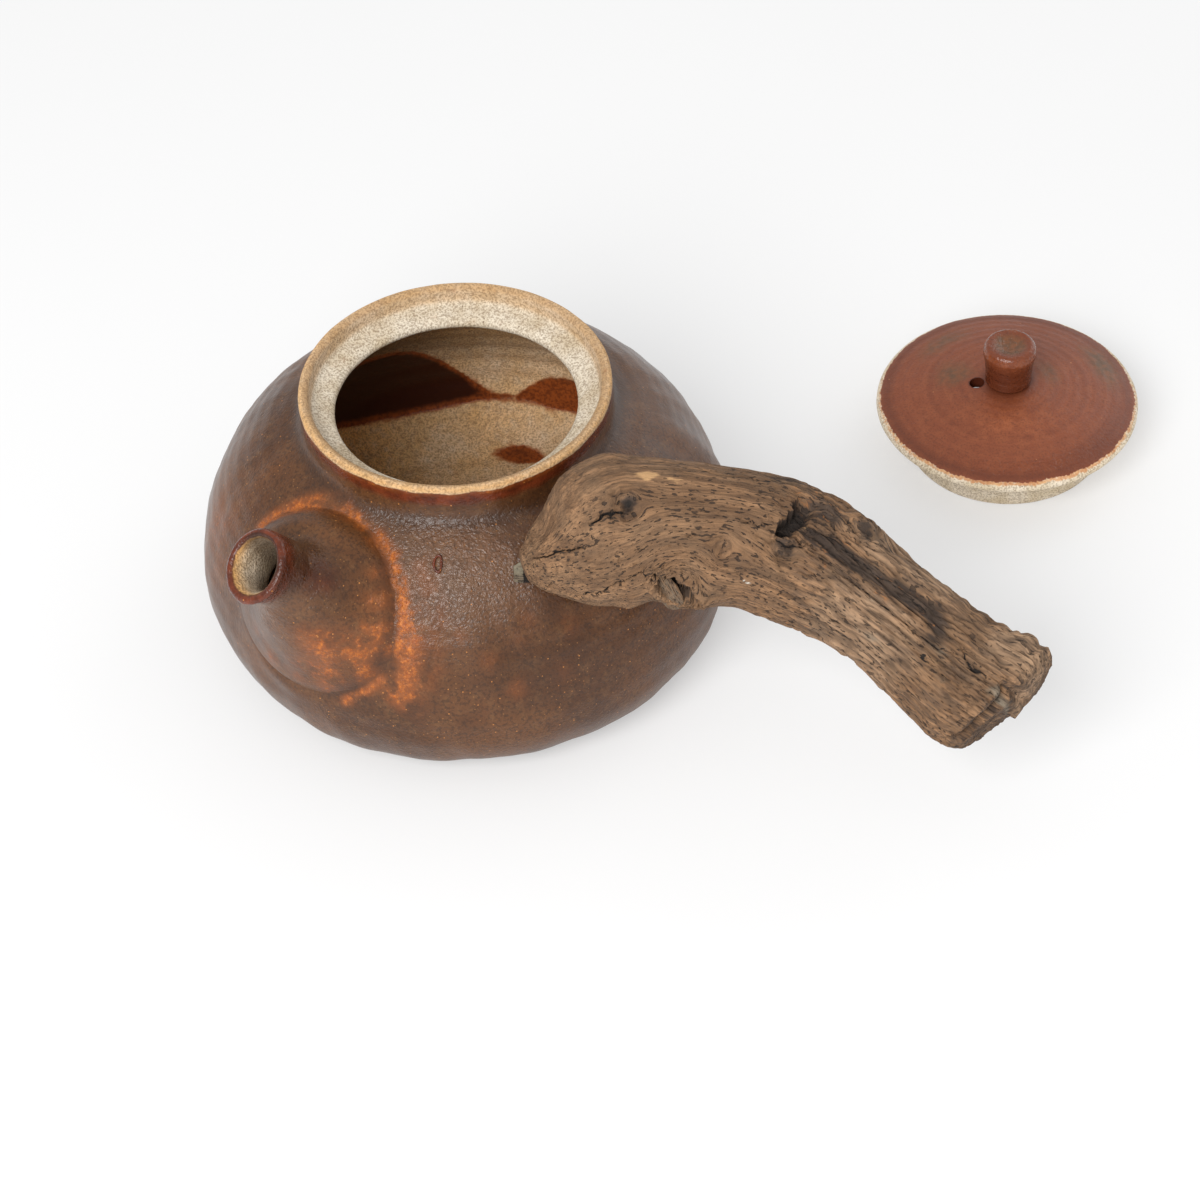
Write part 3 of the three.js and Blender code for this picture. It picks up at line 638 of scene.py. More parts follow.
def stoneware(name, dark, brown, sheen):
    """Wood-fired stoneware: glaze, flashes, iron, runs and bare clay under their masks."""
    f = Finish(name)
    broad, mottle, grit = f.noise(18, 3), f.noise(3.2, 5, rough=0.65), f.noise(0.78, 3, rough=0.6)
    sandy = f.noise(0.5, 3, rough=0.65)
    shade = f.mask("shade")
    iron = f.frayed("iron", 3, 0.5, 0.2, 0.9)
    patchy = f.range(f.noise(6.0, 4, rough=0.6), 0.34, 0.54, 0.4, 1.0)
    heat = f.times(f.mask("flash"), patchy)
    grain = f.minus(f.noise(1.7, 6, rough=0.7), 0.5)
    flame = f.range(f.plus(heat, f.times(grain, 2.0)), 0.46, 1.05)
    ember = f.mix(f.range(f.noise(0.7, 4, rough=0.7), 0.34, 0.7), rgb(134, 64, 18), rgb(194, 113, 40))
    glaze = f.coats(
        f.mix(f.range(broad, 0.35, 0.65), dark, brown),
        (f.range(mottle, 0.45, 0.75), sheen, 0.5),
        (f.range(grit, 0.46, 0.64), rgb(48, 29, 16), 0.6),
        # Where the glaze is wrinkled and glossy its colour is lightened too: a painted sheen
        (f.mask("peel"), rgb(132, 110, 94), 0.3),
        (f.specks(0.95, 0.25, 0.2), rgb(132, 90, 50)),
        (iron, f.mix(f.range(mottle, 0.3, 0.7), rgb(68, 27, 12), rgb(106, 47, 23))),
        (f.range(heat, 0.02, 0.9, 0, 0.62), rgb(138, 74, 30)),
        (flame, ember, 0.85),
        (f.specks(1.7, 0.3, 0.13), rgb(178, 116, 58)),
        (f.specks(7.5, 0.22, 0.05), rgb(216, 196, 164)),
        # Painted shade in creases, grooves and hollows and on sides turned from the light, and one darker
        # spot on the belly
        (shade, rgb(36, 21, 12), 0.75),
    )
    toasted = f.times(f.mask("toast"), f.range(f.noise(2.4, 5), 0.1, 0.6, 0.55, 1.0))
    mottled = f.times(f.range(f.noise(1.5, 3), 0.48, 0.62), f.blend(toasted, 0.1, 0.32))
    dirt = f.times(f.range(sandy, 0.42, 0.62), f.blend(toasted, 0.58, 0.5))
    run = f.frayed("run", 1.1, 0.34, 0.16, 0.34, 8)
    deep = f.frayed("run", 2.0, 0.3, 0.42, 0.85, 6)
    amber = f.mix(f.range(grit, 0.4, 0.65), rgb(134, 66, 26), rgb(98, 44, 16))
    sand = f.coats(
        f.mix(f.range(f.noise(9, 3), 0.35, 0.7), rgb(214, 203, 184), rgb(192, 176, 150)),
        (toasted, rgb(230, 176, 108)),
        (mottled, rgb(126, 92, 52)),
        (f.mask("iron"), rgb(142, 108, 70), 0.7),
        (dirt, rgb(102, 76, 48)),
        (f.specks(1.7, 0.2, 0.16), rgb(84, 60, 40), 0.7),
        # Painted shade on the clay inside the pot and in the spout's bore
        (shade, rgb(66, 48, 30), 0.8),
        (f.frayed("run", 2.6, 0.5, 0.04, 0.3, 7), rgb(150, 84, 36), 0.8),
        (run, f.mix(deep, amber, rgb(50, 17, 5))),
    )
    clay = f.frayed("clay", 1.2, 0.5, 0.4, 0.6, 4)
    color = f.mix(clay, glaze, sand)
    satin = f.range(broad, 0.3, 0.7, 0.3, 0.38)
    gloss = f.math("MAXIMUM", iron, f.mask("peel"))
    rough = f.blend(f.times(gloss, 0.85), satin, 0.2)
    rough = f.blend(f.times(flame, 0.6), rough, 0.5)
    rough = f.blend(clay, rough, f.blend(run, 0.85, 0.35))
    wrinkle = f.noise(1.05, 2, warp=0.8)
    fine = f.noise(0.5, 2)
    skin = f.times(wrinkle, f.blend(f.mask("peel"), 0.35, 3.3))
    skin = f.plus(skin, f.times(fine, 0.3))
    skin = f.plus(skin, f.times(flame, f.times(mottle, 0.6)))
    relief = f.blend(clay, skin, f.times(fine, f.blend(run, 1.0, 0.2)))
    return f.surface(color, rough, 0.26, relief, shine=0.34)


ASH_GLAZE = stoneware("ash_glaze", rgb(72, 43, 22), rgb(92, 57, 30), rgb(108, 75, 45))
print("finish:", ASH_GLAZE.name, len(ASH_GLAZE.node_tree.nodes), "nodes")

# %% [markdown]
# ## The pot
# The body is turned in one piece with its lip, the gallery round the mouth and the ledge
# that the lid rests on. Afterwards the outside is patted and brushed, which leaves long
# shallow facets down the wall, and a hole is cut through the shoulder under the spout.

# %% Turn the pot
def turn_pot():
    """The body, whose outline runs up the outside, over the lip and down the inside."""
    floor = LEDGE_HEIGHT - LEDGE_FALL
    throat = floor - LEDGE_THICKNESS
    rim = [
        OUTSIDE[-1],
        [LIP_RADIUS - 0.25 * LIP_WIDTH, RIM_HEIGHT + 0.1],
        [GALLERY_RADIUS + 0.3 * LIP_WIDTH, RIM_HEIGHT + 0.1],
        [GALLERY_RADIUS, RIM_HEIGHT - 0.8],
        [GALLERY_RADIUS - 0.3, LEDGE_HEIGHT + 0.5],
        [GALLERY_RADIUS - 1, LEDGE_HEIGHT],
        [MOUTH_RADIUS + 1, floor],
        [MOUTH_RADIUS, floor - 1],
        [MOUTH_RADIUS, throat + 1],
        [MOUTH_RADIUS + 1, throat],
        [GALLERY_RADIUS - WALL, throat - 1],
        INSIDE[-1],
    ]
    foot = [OUTSIDE[0], [FOOT_RADIUS + 0.5, 0.9]]
    wall = [foot[1], *OUTSIDE[2:]]
    stretches = (
        ([[0, 0], OUTSIDE[0]], 3.0, 0, 0.2),
        (foot, 0.4, 0, 0.2),
        (wall, 0.85, 0.05, 0.9),
        (rim, 0.42, 0.0, 0.35),
        (INSIDE[::-1], 1.25, 0.22, 0.5),
        ([INSIDE[0], [0, BASE_THICKNESS]], 2.2, 0.22, 0.3),
    )
    return thrown("pot", stretches, 336, ASH_GLAZE)


SPOUT_AZIMUTH, SPOUT_HEIGHT, POUR_HOLE_RADIUS = -126, 45.5, 9.0
SKIRT_RADIUS, SKIRT_SHIFT, SKIRT_OVAL = 21.5, 3.4, 0.06
SPOUT_SEAT = seat_on(SPOUT_AZIMUTH, SPOUT_HEIGHT)
pot = turn_pot()
hole = rod("hole", POUR_HOLE_RADIUS, SPOUT_SEAT[0], SPOUT_SEAT[1], -4 * WALL, 2 * WALL)
cut(pot, hole)
dress(pot, ASH_GLAZE)
tell(pot)

# %% [markdown]
# The masks come from where each point lies: above the lip's edge the clay is bare, under
# the lip the iron shows, and a flash of orange runs round the foot of the spout. Painted
# shade darkens the crease under the neck, the groove round the skirt and the upper wall
# inside. Places on the shoulder are given as a turn and a reach from the spout's axis, and
# places on the wall as an azimuth and a height.

# %% Paint the pot
# Each flash runs along an arc about the spout: the turns that it spans in degrees, its
# reach at each of them, its width and its strength.
FLASHES = (
    ([96, 110, 123, 143, 160], [23.2, 24.2, 24.2, 24.6, 25.4], 2.4, 0.9),
    ([52, 70, 84, 98], [21.5, 21.4, 21.8, 23.0], 1.9, 0.85),
    ([-10, 12, 26, 45, 56], [21.8, 21.4, 21.1, 21.4, 21.6], 2.2, 1.0),
    ([-36, -24, -14, 2, 20], [27.0, 26.5, 25.0, 23.6, 23.0], 4.2, 0.8),
    ([-66, -50, -42, -28], [22.6, 21.8, 21.6, 21.6], 1.8, 0.8),
    ([-8, 20, 45], [28.0, 27.5, 26.0], 3.6, 0.4),
    ([-34, -20, 4], [31.0, 30.5, 29.0], 3.4, 0.4),
)
# Azimuth, height, size and strength of the blotches lower on the wall
BLOTCHES = (
    (-101, 50.5, 3.6, 0.41), (-96, 47.4, 3.0, 0.38), (-91, 45.4, 2.6, 0.38), (-85, 39.5, 3.4, 0.45),
    (-80, 31.3, 3.8, 0.46), (-78, 42.8, 3.0, 0.3), (-75, 46.3, 2.8, 0.34), (-66, 43.2, 3.4, 0.38),
    (-97, 36.0, 3.4, 0.26), (-70, 33.0, 4.0, 0.32), (-88, 26.0, 3.6, 0.26), (-152, 47.0, 3.6, 0.26),
    (-168, 38.0, 17.0, 0.42), (-164, 56.0, 4.0, 0.22), (-140, 24.0, 5.0, 0.15),
    (30, 36.0, 6.0, 0.38), (62, 44.0, 5.0, 0.34), (112, 30.0, 7.0, 0.38), (160, 40.0, 5.0, 0.3),
)
# Azimuth, height and reach of a darker spot on the belly, and of the wrinkled gloss and its painted sheen
DUSK = (-78, 40, 20, 11)
WRINKLED = (-100, 55, 22, 8)
# The glaze under the lip turns to iron between these heights, and the inside ends below ROOF
IRON_STARTS, IRON_FULL, ROOF = 64.5, 69.5, 58
# Inside, the ash ran in a dark patch between a top line and a bottom line round the wall:
# azimuths, and the line's height at each of them
RUN_TOP = (
    [30, 46, 60, 66, 71, 75, 78, 84, 89, 94, 99, 103, 108, 114, 120, 130, 146, 160],
    [12, 17, 21.5, 22, 20, 17, 14.3, 14.8, 18.6, 24.1, 29.2, 32.0, 33.6, 34.0, 33.4, 30.6, 24, 12],
)
RUN_FOOT = (
    [30, 60, 69, 74, 82, 87, 97, 108, 118, 124, 160],
    [16, 12.6, 12.1, 12.9, 12.9, 12.7, 11.3, 11.4, 12.8, 14.3, 18],
)


def spout_polar(points):
    """Turn and reach of each point about the spout's axis, and its rise along the axis."""
    away = points - SPOUT_SEAT[0]
    x, y = away @ SPOUT_SEAT[2], away @ SPOUT_SEAT[3]
    return np.degrees(np.arctan2(y, x)), np.hypot(x, y), away @ SPOUT_SEAT[1]


def skirt_edge(turn):
    """How far from the spout's axis the edge of its skirt lies, an oval set off the axis."""
    x, y = np.cos(np.radians(turn)), np.sin(np.radians(turn))
    wide = SKIRT_RADIUS * (1 + SKIRT_OVAL)
    square, linear = (x / wide) ** 2 + (y / SKIRT_RADIUS) ** 2, SKIRT_SHIFT * x / wide**2
    rest = square * ((SKIRT_SHIFT / wide) ** 2 - 1)
    return (np.sqrt(linear**2 - rest) - linear) / square


def wall_spot(points, place, height, wide, tall):
    """A soft spot on the pot's wall, 1 in its middle."""
    azimuth, radius, level = polar(points)
    side = radians(1) * around(azimuth, place) * radius
    return bell(side, wide, level - height, tall)


def flashes(points):
    """How strongly the flame flashed each point of the outside."""
    turn, reach, _ = spout_polar(points)
    total = np.zeros(len(points))
    for turns, reaches, width, strength in FLASHES:
        line = bell(reach - np.interp(turn, turns, reaches), width)
        ends = smooth(turn, turns[0] - 7, turns[0] + 3) * fading(turn, turns[-1] - 3, turns[-1] + 7)
        total = np.maximum(total, strength * line * ends)
    for place, height, size, strength in BLOTCHES:
        total = np.maximum(total, strength * wall_spot(points, place, height, size, size))
    return total


def lip_masks(points):
    """Toast and iron on the bare clay of the lip and the gallery, with more above the ledge."""
    azimuth, radius, height = polar(points)
    lip = smooth(height, RIM_HEIGHT - 1.6, RIM_HEIGHT - 0.4)
    toast = 0.2 + 0.3 * smooth(radius, LIP_RADIUS - 1.4, LIP_RADIUS - 0.1)
    toast = toast * lip * smooth(radius, GALLERY_RADIUS - 0.4, GALLERY_RADIUS + 0.4)
    iron = (1.6 * toast + 0.12 * lip) * (1.15 - 0.3 * np.sin(np.radians(azimuth)))
    # Above the ledge, on the steep wall and the lip, more iron and toast: painted shade on the steep wall
    iron = iron + 0.3 * smooth(height, LEDGE_HEIGHT + 0.6, LEDGE_HEIGHT + 2.4)
    return toast + 0.36 * smooth(height, LEDGE_HEIGHT, LEDGE_HEIGHT + 1.5), iron.clip(0, 1)


def outside_masks(points):
    """Masks of the glazed outside, up to the frayed edge of the lip."""
    azimuth, _, height = polar(points)
    edge = RIM_HEIGHT - 1.0 + 0.35 * noise(points, 5, 3, 2)
    iron = smooth(height, IRON_STARTS, IRON_FULL) * (0.75 + 0.25 * np.cos(np.radians(azimuth + 60)))
    scorched_lip = 0.5 * smooth(height, RIM_HEIGHT - 3.6, RIM_HEIGHT - 1.6)
    # Painted shade in the crease where the shoulder meets the neck, and in the groove round the skirt
    corner = bell(height - SHOULDER_HEIGHT - 1.4, 1.5)
    turn, reach, _ = spout_polar(points)
    groove = bell(reach - skirt_edge(turn) - 0.2, 0.8) * fading(np.abs(turn), 60, 95)
    # A darker spot on the belly
    dusk = 0.45 * wall_spot(points, *DUSK)
    return {
        "clay": smooth(height, edge - 1.1, edge + 0.5),
        "iron": iron * (1 - 0.45 * smooth(height, edge - 1.6, edge - 0.2)),
        "flash": np.maximum(flashes(points), scorched_lip),
        "shade": np.maximum.reduce([0.75 * corner, 0.55 * groove, dusk]),
        "peel": wall_spot(points, *WRINKLED),
        "toast": lip_masks(points)[0],
    }


def inside_masks(points, inner):
    """Masks of the clay inside: the chamber where inner is true, and the gallery and lip."""
    azimuth, radius, height = polar(points)
    line = azimuth % 360
    top, foot = np.interp(line, *RUN_TOP), np.interp(line, *RUN_FOOT)
    cover = np.minimum(top - height, height - foot)
    run = 0.42 * smooth(cover, -1.3, 1.1) + 0.58 * smooth(cover, 0.0, 3.2) * smooth(line, 79, 92)
    run = run * smooth(line, 28, 34) * fading(line, 158, 165)
    pool = np.abs((azimuth - 74.5) / 7.5) ** 1.3 + np.abs((radius - 48.5) / 2.5) ** 1.6
    pool = np.maximum(0.55 * fading(pool, 0.2, 1.9), 0.24 * bell(azimuth - 126, 15, radius - 41, 5))
    low = 0.35 * fading(height, 6, 34) * (0.6 + 0.9 * noise(points, 9, 5, 2))
    low = low + 0.4 * bell(line - 122, 26) + 0.8 * smooth(height, 30, 46)
    # Painted shade on the upper wall inside, under the shoulder, strongest towards the back left
    roof = smooth(height, 21, 35) * (0.55 + 0.4 * smooth(azimuth, 76, 112))
    lip_toast, lip_iron = lip_masks(points)
    return {
        "clay": 1.0,
        "iron": lip_iron,
        "shade": roof * (height < ROOF),
        "run": np.where(inner, np.maximum(run, np.where(height < 9, pool, 0)), 0),
        "toast": np.where(inner, (0.5 * low + 0.5).clip(0, 1), lip_toast),
    }


def paint_pot(piece):
    points = places(piece)
    _, radius, height = polar(points)
    outer = (radius > radius_at(OUTSIDE, height) - 1.4) & (height < RIM_HEIGHT + 1)
    inner = ~outer & (radius < BELLY_RADIUS - 2) & (height < ROOF)
    outside, inside = outside_masks(points), inside_masks(points, inner)
    for name in CLAY_MASKS:
        paint(piece, name, np.where(outer, outside.get(name, 0.0), inside.get(name, 0.0)))


BRUSH_RADIUS, BRUSH_LEAN, BRUSH_DEPTH = 60, 0.35, 0.34
GROOVE_DEPTH, SWELLING = 0.28, 0.5


def brush_pot(piece):
    """The brushed facets outside, and the groove and the swelling round the spout's skirt."""
    points = places(piece)
    azimuth, radius, height = polar(points)
    outer = smooth(radius - radius_at(OUTSIDE, height), -1.6, -0.9) * fading(height, 56, 62)
    outer = outer * smooth(height, 1, 6)
    lean = (np.radians(azimuth) * BRUSH_RADIUS + BRUSH_LEAN * height) / BRUSH_RADIUS
    facet = np.stack([np.cos(lean) * BRUSH_RADIUS, np.sin(lean) * BRUSH_RADIUS, height / 4], 1)
    push = BRUSH_DEPTH * noise(facet, 8, 7, 2) * outer
    turn, reach, _ = spout_polar(points)
    front = smooth(points @ SPOUT_SEAT[1], 0, 10)
    groove = bell(reach - skirt_edge(turn) - 1.0, 1.3) * fading(np.abs(turn), 60, 95)
    push = push - GROOVE_DEPTH * groove * front
    swelling = SWELLING * bell(reach - 24.0, 2.4) * fading(np.abs(around(turn, -140)), 30, 60)
    push = push + swelling * front
    brushed = points + normals(piece) * push[:, None]
    brushed[:, 2] = brushed[:, 2].clip(0)
    move_to(piece, brushed)


brush_pot(pot)
paint_pot(pot)

# %% [markdown]
# One blister stands on the shoulder, where a bubble burst in the glaze and left a narrow
# raised ring. It is too fine for the pot's own mesh, so it is a small ring laid on it.

# %% The blister
BLISTER_AZIMUTH, BLISTER_HEIGHT = -96.5, 57.6
BLISTER_WIDE, BLISTER_LONG, BLISTER_THICK = 0.85, 1.9, 0.34


def make_blister():
    foot, normal, level, climb = seat_on(BLISTER_AZIMUTH, BLISTER_HEIGHT)
    turn = np.linspace(0, 2 * pi, 72, endpoint=False)[:, None]
    bend = np.linspace(0, 2 * pi, 16, endpoint=False)[None, :, None]
    spine = level * BLISTER_WIDE * np.sin(turn) + climb * BLISTER_LONG * np.cos(turn)
    spine = spine + level * 0.25 * np.cos(turn) ** 2
    tube = BLISTER_THICK * (unit(spine)[:, None] * np.cos(bend) + normal * np.sin(bend))
    piece = loft("blister", foot + normal * 0.15 + spine[:, None] + tube, closed=True)
    masks(piece, CLAY_MASKS, iron=1.0, shade=0.25)
    dress(piece, ASH_GLAZE)
    return piece


blister = make_blister()
tell(blister)

# %% [markdown]
# ## The spout
# The spout is a funnel thrown apart, bent a little and luted over the hole. Its skirt has to
# lie on a curved shoulder, so it can't be turned on the axis of the pot. It is a loft: rings
# that start as an oval dropped on the shoulder, shrink like a bell along a bent line, and
# end on the slanting plane of the pouring lip. Its edge dips just under the pot's surface,
# so the two read as one clay.

# %% Loft the spout
SKIRT_EDGE, FLARE = 0.9, 1.6
SPOUT_RADIUS, SPOUT_BORE, CHAMBER_RADIUS, TIP_FLARE = 8.2, 5.8, 13.0, 0.5
MOUTH_FLARE = 0.7
SPOUT_BEND = np.array([-6.1, 1.1, 13.1])
SPOUT_TIP = np.array([-12.8, -5.6, 20.5])
TIP_FACING = unit(np.array([-0.574, -0.364, 0.734]))
SPOUT_SIDES = 176


def fall_to(line, points, direction):
    """How far each point falls along a direction before it meets a thrown wall."""
    near, far = np.full(len(points), -4.0), np.full(len(points), 30.0)
    for _ in range(30):
        middle = (near + far) / 2
        p = points + middle[:, None] * direction
        free = np.hypot(p[:, 0], p[:, 1]) > radius_at(line, p[:, 2])
        near, far = np.where(free, middle, near), np.where(free, far, middle)
    return near


def spout_ring(t, radius, lift, push=0.0):
    """A ring round the spout's bent line, at a share t of the way from its foot to its tip."""
    seat, normal, level, climb = SPOUT_SEAT
    centre = seat + 2 * t * (1 - t) * SPOUT_BEND + t * t * SPOUT_TIP
    tangent = unit((1 - 2 * t) * SPOUT_BEND + t * SPOUT_TIP)
    turned = smooth(np.array(t / 0.6))
    along = unit(normal * (1 - turned) + tangent * turned)
    across = unit(np.cross(climb, along))
    upward = np.cross(along, across)
    rest = max(0, 1 - t / 0.45) ** 2
    slant = smooth(np.array((t - 0.4) / 0.6)) / (along @ TIP_FACING)
    turn = np.linspace(0, 2 * pi, SPOUT_SIDES, endpoint=False)[:, None]
    out = radius * (across * np.cos(turn) * (1 + SKIRT_OVAL * rest) + upward * np.sin(turn))
    out = out - level * SKIRT_SHIFT * rest
    drop = fall_to(OUTSIDE, seat + out, -normal) - lift
    points = centre + out - normal * (drop * rest)[:, None]
    return points - along * (slant * (out @ TIP_FACING))[:, None] + TIP_FACING * push


def make_spout():
    """The spout with its masks. Rings run up the outside, over the lip and down the bore."""
    rings, stations = [], []

    def add(t, radius, lift, side, push=0.0):
        rings.append(spout_ring(t, radius, lift, push))
        stations.append((t, side))

    def outside(t):
        skirt = (SKIRT_RADIUS - SPOUT_RADIUS) * max(0, 1 - t / 0.6) ** FLARE
        return SPOUT_RADIUS + skirt + TIP_FLARE * smooth(np.array((t - 0.7) / 0.3))

    def throat(t):
        chamber = (CHAMBER_RADIUS - SPOUT_BORE) * max(0, 1 - t / 0.7) ** FLARE
        return SPOUT_BORE + chamber + MOUTH_FLARE * smooth(np.array(t), 0.8, 1.0)

    add(0, SKIRT_RADIUS + 1.3, -0.55, 1)
    add(0, SKIRT_RADIUS + 0.5, -0.12, 1)
    for t in np.linspace(0, 0.93, 84):
        add(t, outside(t), SEAM + SKIRT_EDGE * smooth(np.array(t), -0.02, 0.06) - 0.35, 1)
    middle, half = (outside(1) + throat(1)) / 2, (outside(1) - throat(1)) / 2
    for bend in np.linspace(0.15, pi - 0.15, 10):
        side = 1 - 0.6 * smooth(np.array(bend / pi), 0.45, 0.95)
        add(1, middle + half * cos(bend), 0, side, 1.1 * (sin(bend) - 1))
    for t in np.linspace(0.94, 0.08, 48):
        add(t, throat(t), SEAM + SKIRT_EDGE, 0.25 * smooth(np.array(t), 0.86, 0.94))
    add(0, CHAMBER_RADIUS, SEAM, 0)
    add(0, (CHAMBER_RADIUS + SKIRT_RADIUS) / 2, -0.2, 0)
    piece = loft("spout_skirt", np.array(rings), closed=True)
    t, side = np.repeat(np.array(stations), SPOUT_SIDES, axis=0).T
    points = places(piece)
    push = 0.22 * noise(points, 7, 4, 2) * smooth(t, 0.0, 0.1) * side
    push = push + 0.05 * noise(points * [1, 1, 3], 2.5, 9) * smooth(t, 0.3, 0.5) * side
    turn, _, _ = spout_polar(points)
    bead = bell(t - 0.025, 0.016) * (side == 1) * (t > 0)
    push = push + 0.3 * bead * bell(around(turn, -125), 55)
    move_to(piece, points + normals(piece) * push[:, None])
    paint_spout(piece, points, t, side)
    dress(piece, ASH_GLAZE)
    return piece


# Turn and reach about the spout's axis, size and strength of the orange on its skirt
EMBERS = (
    (-38, 9.0, 6.2, 0.75), (-20, 13.5, 6.0, 0.8), (-52, 14.5, 6.0, 0.75), (-72, 14.0, 5.6, 0.62),
    (5, 16.5, 4.6, 0.7), (28, 17.5, 4.0, 0.6), (-95, 16.0, 4.6, 0.5), (-122, 19.0, 4.0, 0.55),
    (160, 18.5, 3.6, 0.45), (-70, 18.0, 4.2, 0.6), (-35, 17.5, 4.6, 0.85), (-8, 18.5, 3.6, 0.8),
    (48, 19.0, 2.6, 0.6), (-140, 17.0, 4.0, 0.4),
)


def paint_spout(piece, points, t, side):
    """The spout's masks; t runs from its foot to its tip, and side is 1 outside, 0 in the bore."""
    turn, reach, rise = spout_polar(points)
    glow = np.zeros(len(points))
    x, y = reach * np.cos(np.radians(turn)), reach * np.sin(np.radians(turn))
    for place, far, size, strength in EMBERS:
        near = bell(x - far * cos(radians(place)), size, y - far * sin(radians(place)), size)
        glow = np.maximum(glow, strength * near)
    glow = np.maximum(glow, flashes(points) * fading(t, 0.02, 0.08))
    # Painted shade down the far wall of the bore
    away = points - SPOUT_SEAT[0] - SPOUT_TIP
    far_side = smooth(away @ unit(np.array([0.9, 0.45, 0.45])), -1.5, 3.5)
    near_side = smooth(-(away @ SPOUT_SEAT[2]) - 0.7 * (away @ SPOUT_SEAT[3]), -2, 6)
    burnt = smooth(t, 0.97 - 0.14 * near_side, 1.0)
    # Painted shade on the neck's upper right, which also reddens, as does the neck towards the lip
    dark = bell(around(turn, 74), 42, reach - 12.0, 5.5) * smooth(rise, 2, 8)
    # Painted shade under the neck and in the groove at the edge of the skirt
    low = bell(around(turn, -128), 40) * smooth(t, 0.3, 0.6)
    groove = 0.45 * fading(t, 0.01, 0.07) * fading(np.abs(turn), 50, 80)
    outer_shade = np.maximum.reduce([0.74 * dark, 0.3 * low, groove])
    masks(
        piece, CLAY_MASKS,
        flash=glow * (side > 0.5) * fading(t, 0.42, 0.62),
        clay=1 - side,
        toast=np.where(side < 1, 0.2 + 0.8 * burnt, 0),
        shade=np.where(side < 1, 0.95 * far_side, outer_shade),
        iron=side * np.maximum(smooth(t, 0.6, 0.95), 0.6 * dark),
        # The neck's glossy band is lightened a little too: a painted sheen
        peel=0.3 * side * smooth(t, 0.2, 0.5),
    )


spout = make_spout()
tell(spout)

# %% [markdown]
# ## The strainer
# Behind the pouring hole sits a small dome of clay, pierced with a stick in rings of holes,
# which keeps the leaves back. The holes repeat, so Geometry Nodes place them: circles of
# points, a rod at each point, and one boolean that takes all the rods out of the dome. The
# dome is pierced lying flat and is then moved to its place inside the wall.

# %% The pierced dome, a Geometry Nodes tree
STRAINER_RIM, STRAINER_EDGE, STRAINER_RISE, STRAINER_WALL = 3.4, 1.0, 8.0, 2.0
STRAINER_HOLE, STRAINER_PITCH, STRAINER_RINGS = 1.0, 3.1, 3


def piercing_tree():
    """The tree that takes rings of round holes out of a shape lying flat."""
    sockets = {
        "Geometry": "Geometry",
        "Pitch": "Float",
        "Hole Radius": "Float",
        "Depth": "Float",
        "Finish": "Material",
    }
    t, given = shape_tree("piercing", sockets)
    rings = t.tree.nodes.new("GeometryNodeJoinGeometry")
    t.tree.links.new(t.add("GeometryNodeMeshLine", {"Count": 1}), rings.inputs[0])
    for ring in range(1, STRAINER_RINGS + 1):
        sizes = {"Vertices": 6 * ring, "Radius": t.times(given["Pitch"], ring)}
        t.tree.links.new(t.add("GeometryNodeMeshCircle", sizes), rings.inputs[0])
    stick = {"Vertices": 16, "Radius": given["Hole Radius"], "Depth": given["Depth"]}
    stick = t.add("GeometryNodeMeshCylinder", stick, "Mesh")
    sticks = t.add("GeometryNodeInstanceOnPoints", {"Points": rings.outputs[0], "Instance": stick})
    sticks = t.add("GeometryNodeRealizeInstances", {"Geometry": sticks})
    pierced = {"Mesh 1": given["Geometry"], "Mesh 2": sticks}
    pierced = t.add("GeometryNodeMeshBoolean", pierced, operation="DIFFERENCE", solver="MANIFOLD")
    dressed = t.add("GeometryNodeSetMaterial", {"Geometry": pierced, "Material": given["Finish"]})
    t.add("NodeGroupOutput", {"Geometry": dressed})
    return t.tree


def make_strainer():
    """A hollow dome whose edge follows the wall inside, pierced and set in its place."""
    seat, normal, level, climb = SPOUT_SEAT
    circle = ring(72, level, climb)

    def shell_ring(radius, bulge):
        start = seat + radius * circle
        return start - normal * (fall_to(INSIDE, start, -normal) + SEAM + bulge)[:, None]

    def dome(share, rise):
        return rise * (1 - share**2) ** 0.5

    rim, hollow = POUR_HOLE_RADIUS + STRAINER_RIM, POUR_HOLE_RADIUS + SEAM
    rise = STRAINER_RISE - STRAINER_EDGE
    shares = np.cos(np.linspace(0.12, 1.5, 14))
    outer = [shell_ring(hollow, 0), shell_ring(rim - 0.3, 0), shell_ring(rim, 0.3)]
    outer += [shell_ring(rim * s, STRAINER_EDGE + dome(s, rise)) for s in shares]
    piece = loft("strainer_dome", np.array(outer))
    inner = [shell_ring(hollow, -WALL / 2)]
    inner += [shell_ring(hollow * s, dome(s, rise - STRAINER_WALL)) for s in shares]
    cut(piece, loft("core", np.array(inner)))
    place = Matrix((level, climb, normal)).transposed().to_4x4()
    place.translation = Vector(seat) * MM
    piece.data.transform(place.inverted())
    sizes = {"Pitch": STRAINER_PITCH * MM, "Hole Radius": STRAINER_HOLE * MM}
    feed(piece, piercing_tree(), {**sizes, "Depth": 5 * STRAINER_RISE * MM, "Finish": ASH_GLAZE})
    settle(piece)
    piece.data.transform(place)
    outward(piece, 50)
    masks(piece, CLAY_MASKS, clay=1.0, toast=0.4 + 0.4 * noise(places(piece), 5, 8))
    dress(piece, ASH_GLAZE)
    return piece


strainer = make_strainer()
tell(strainer)

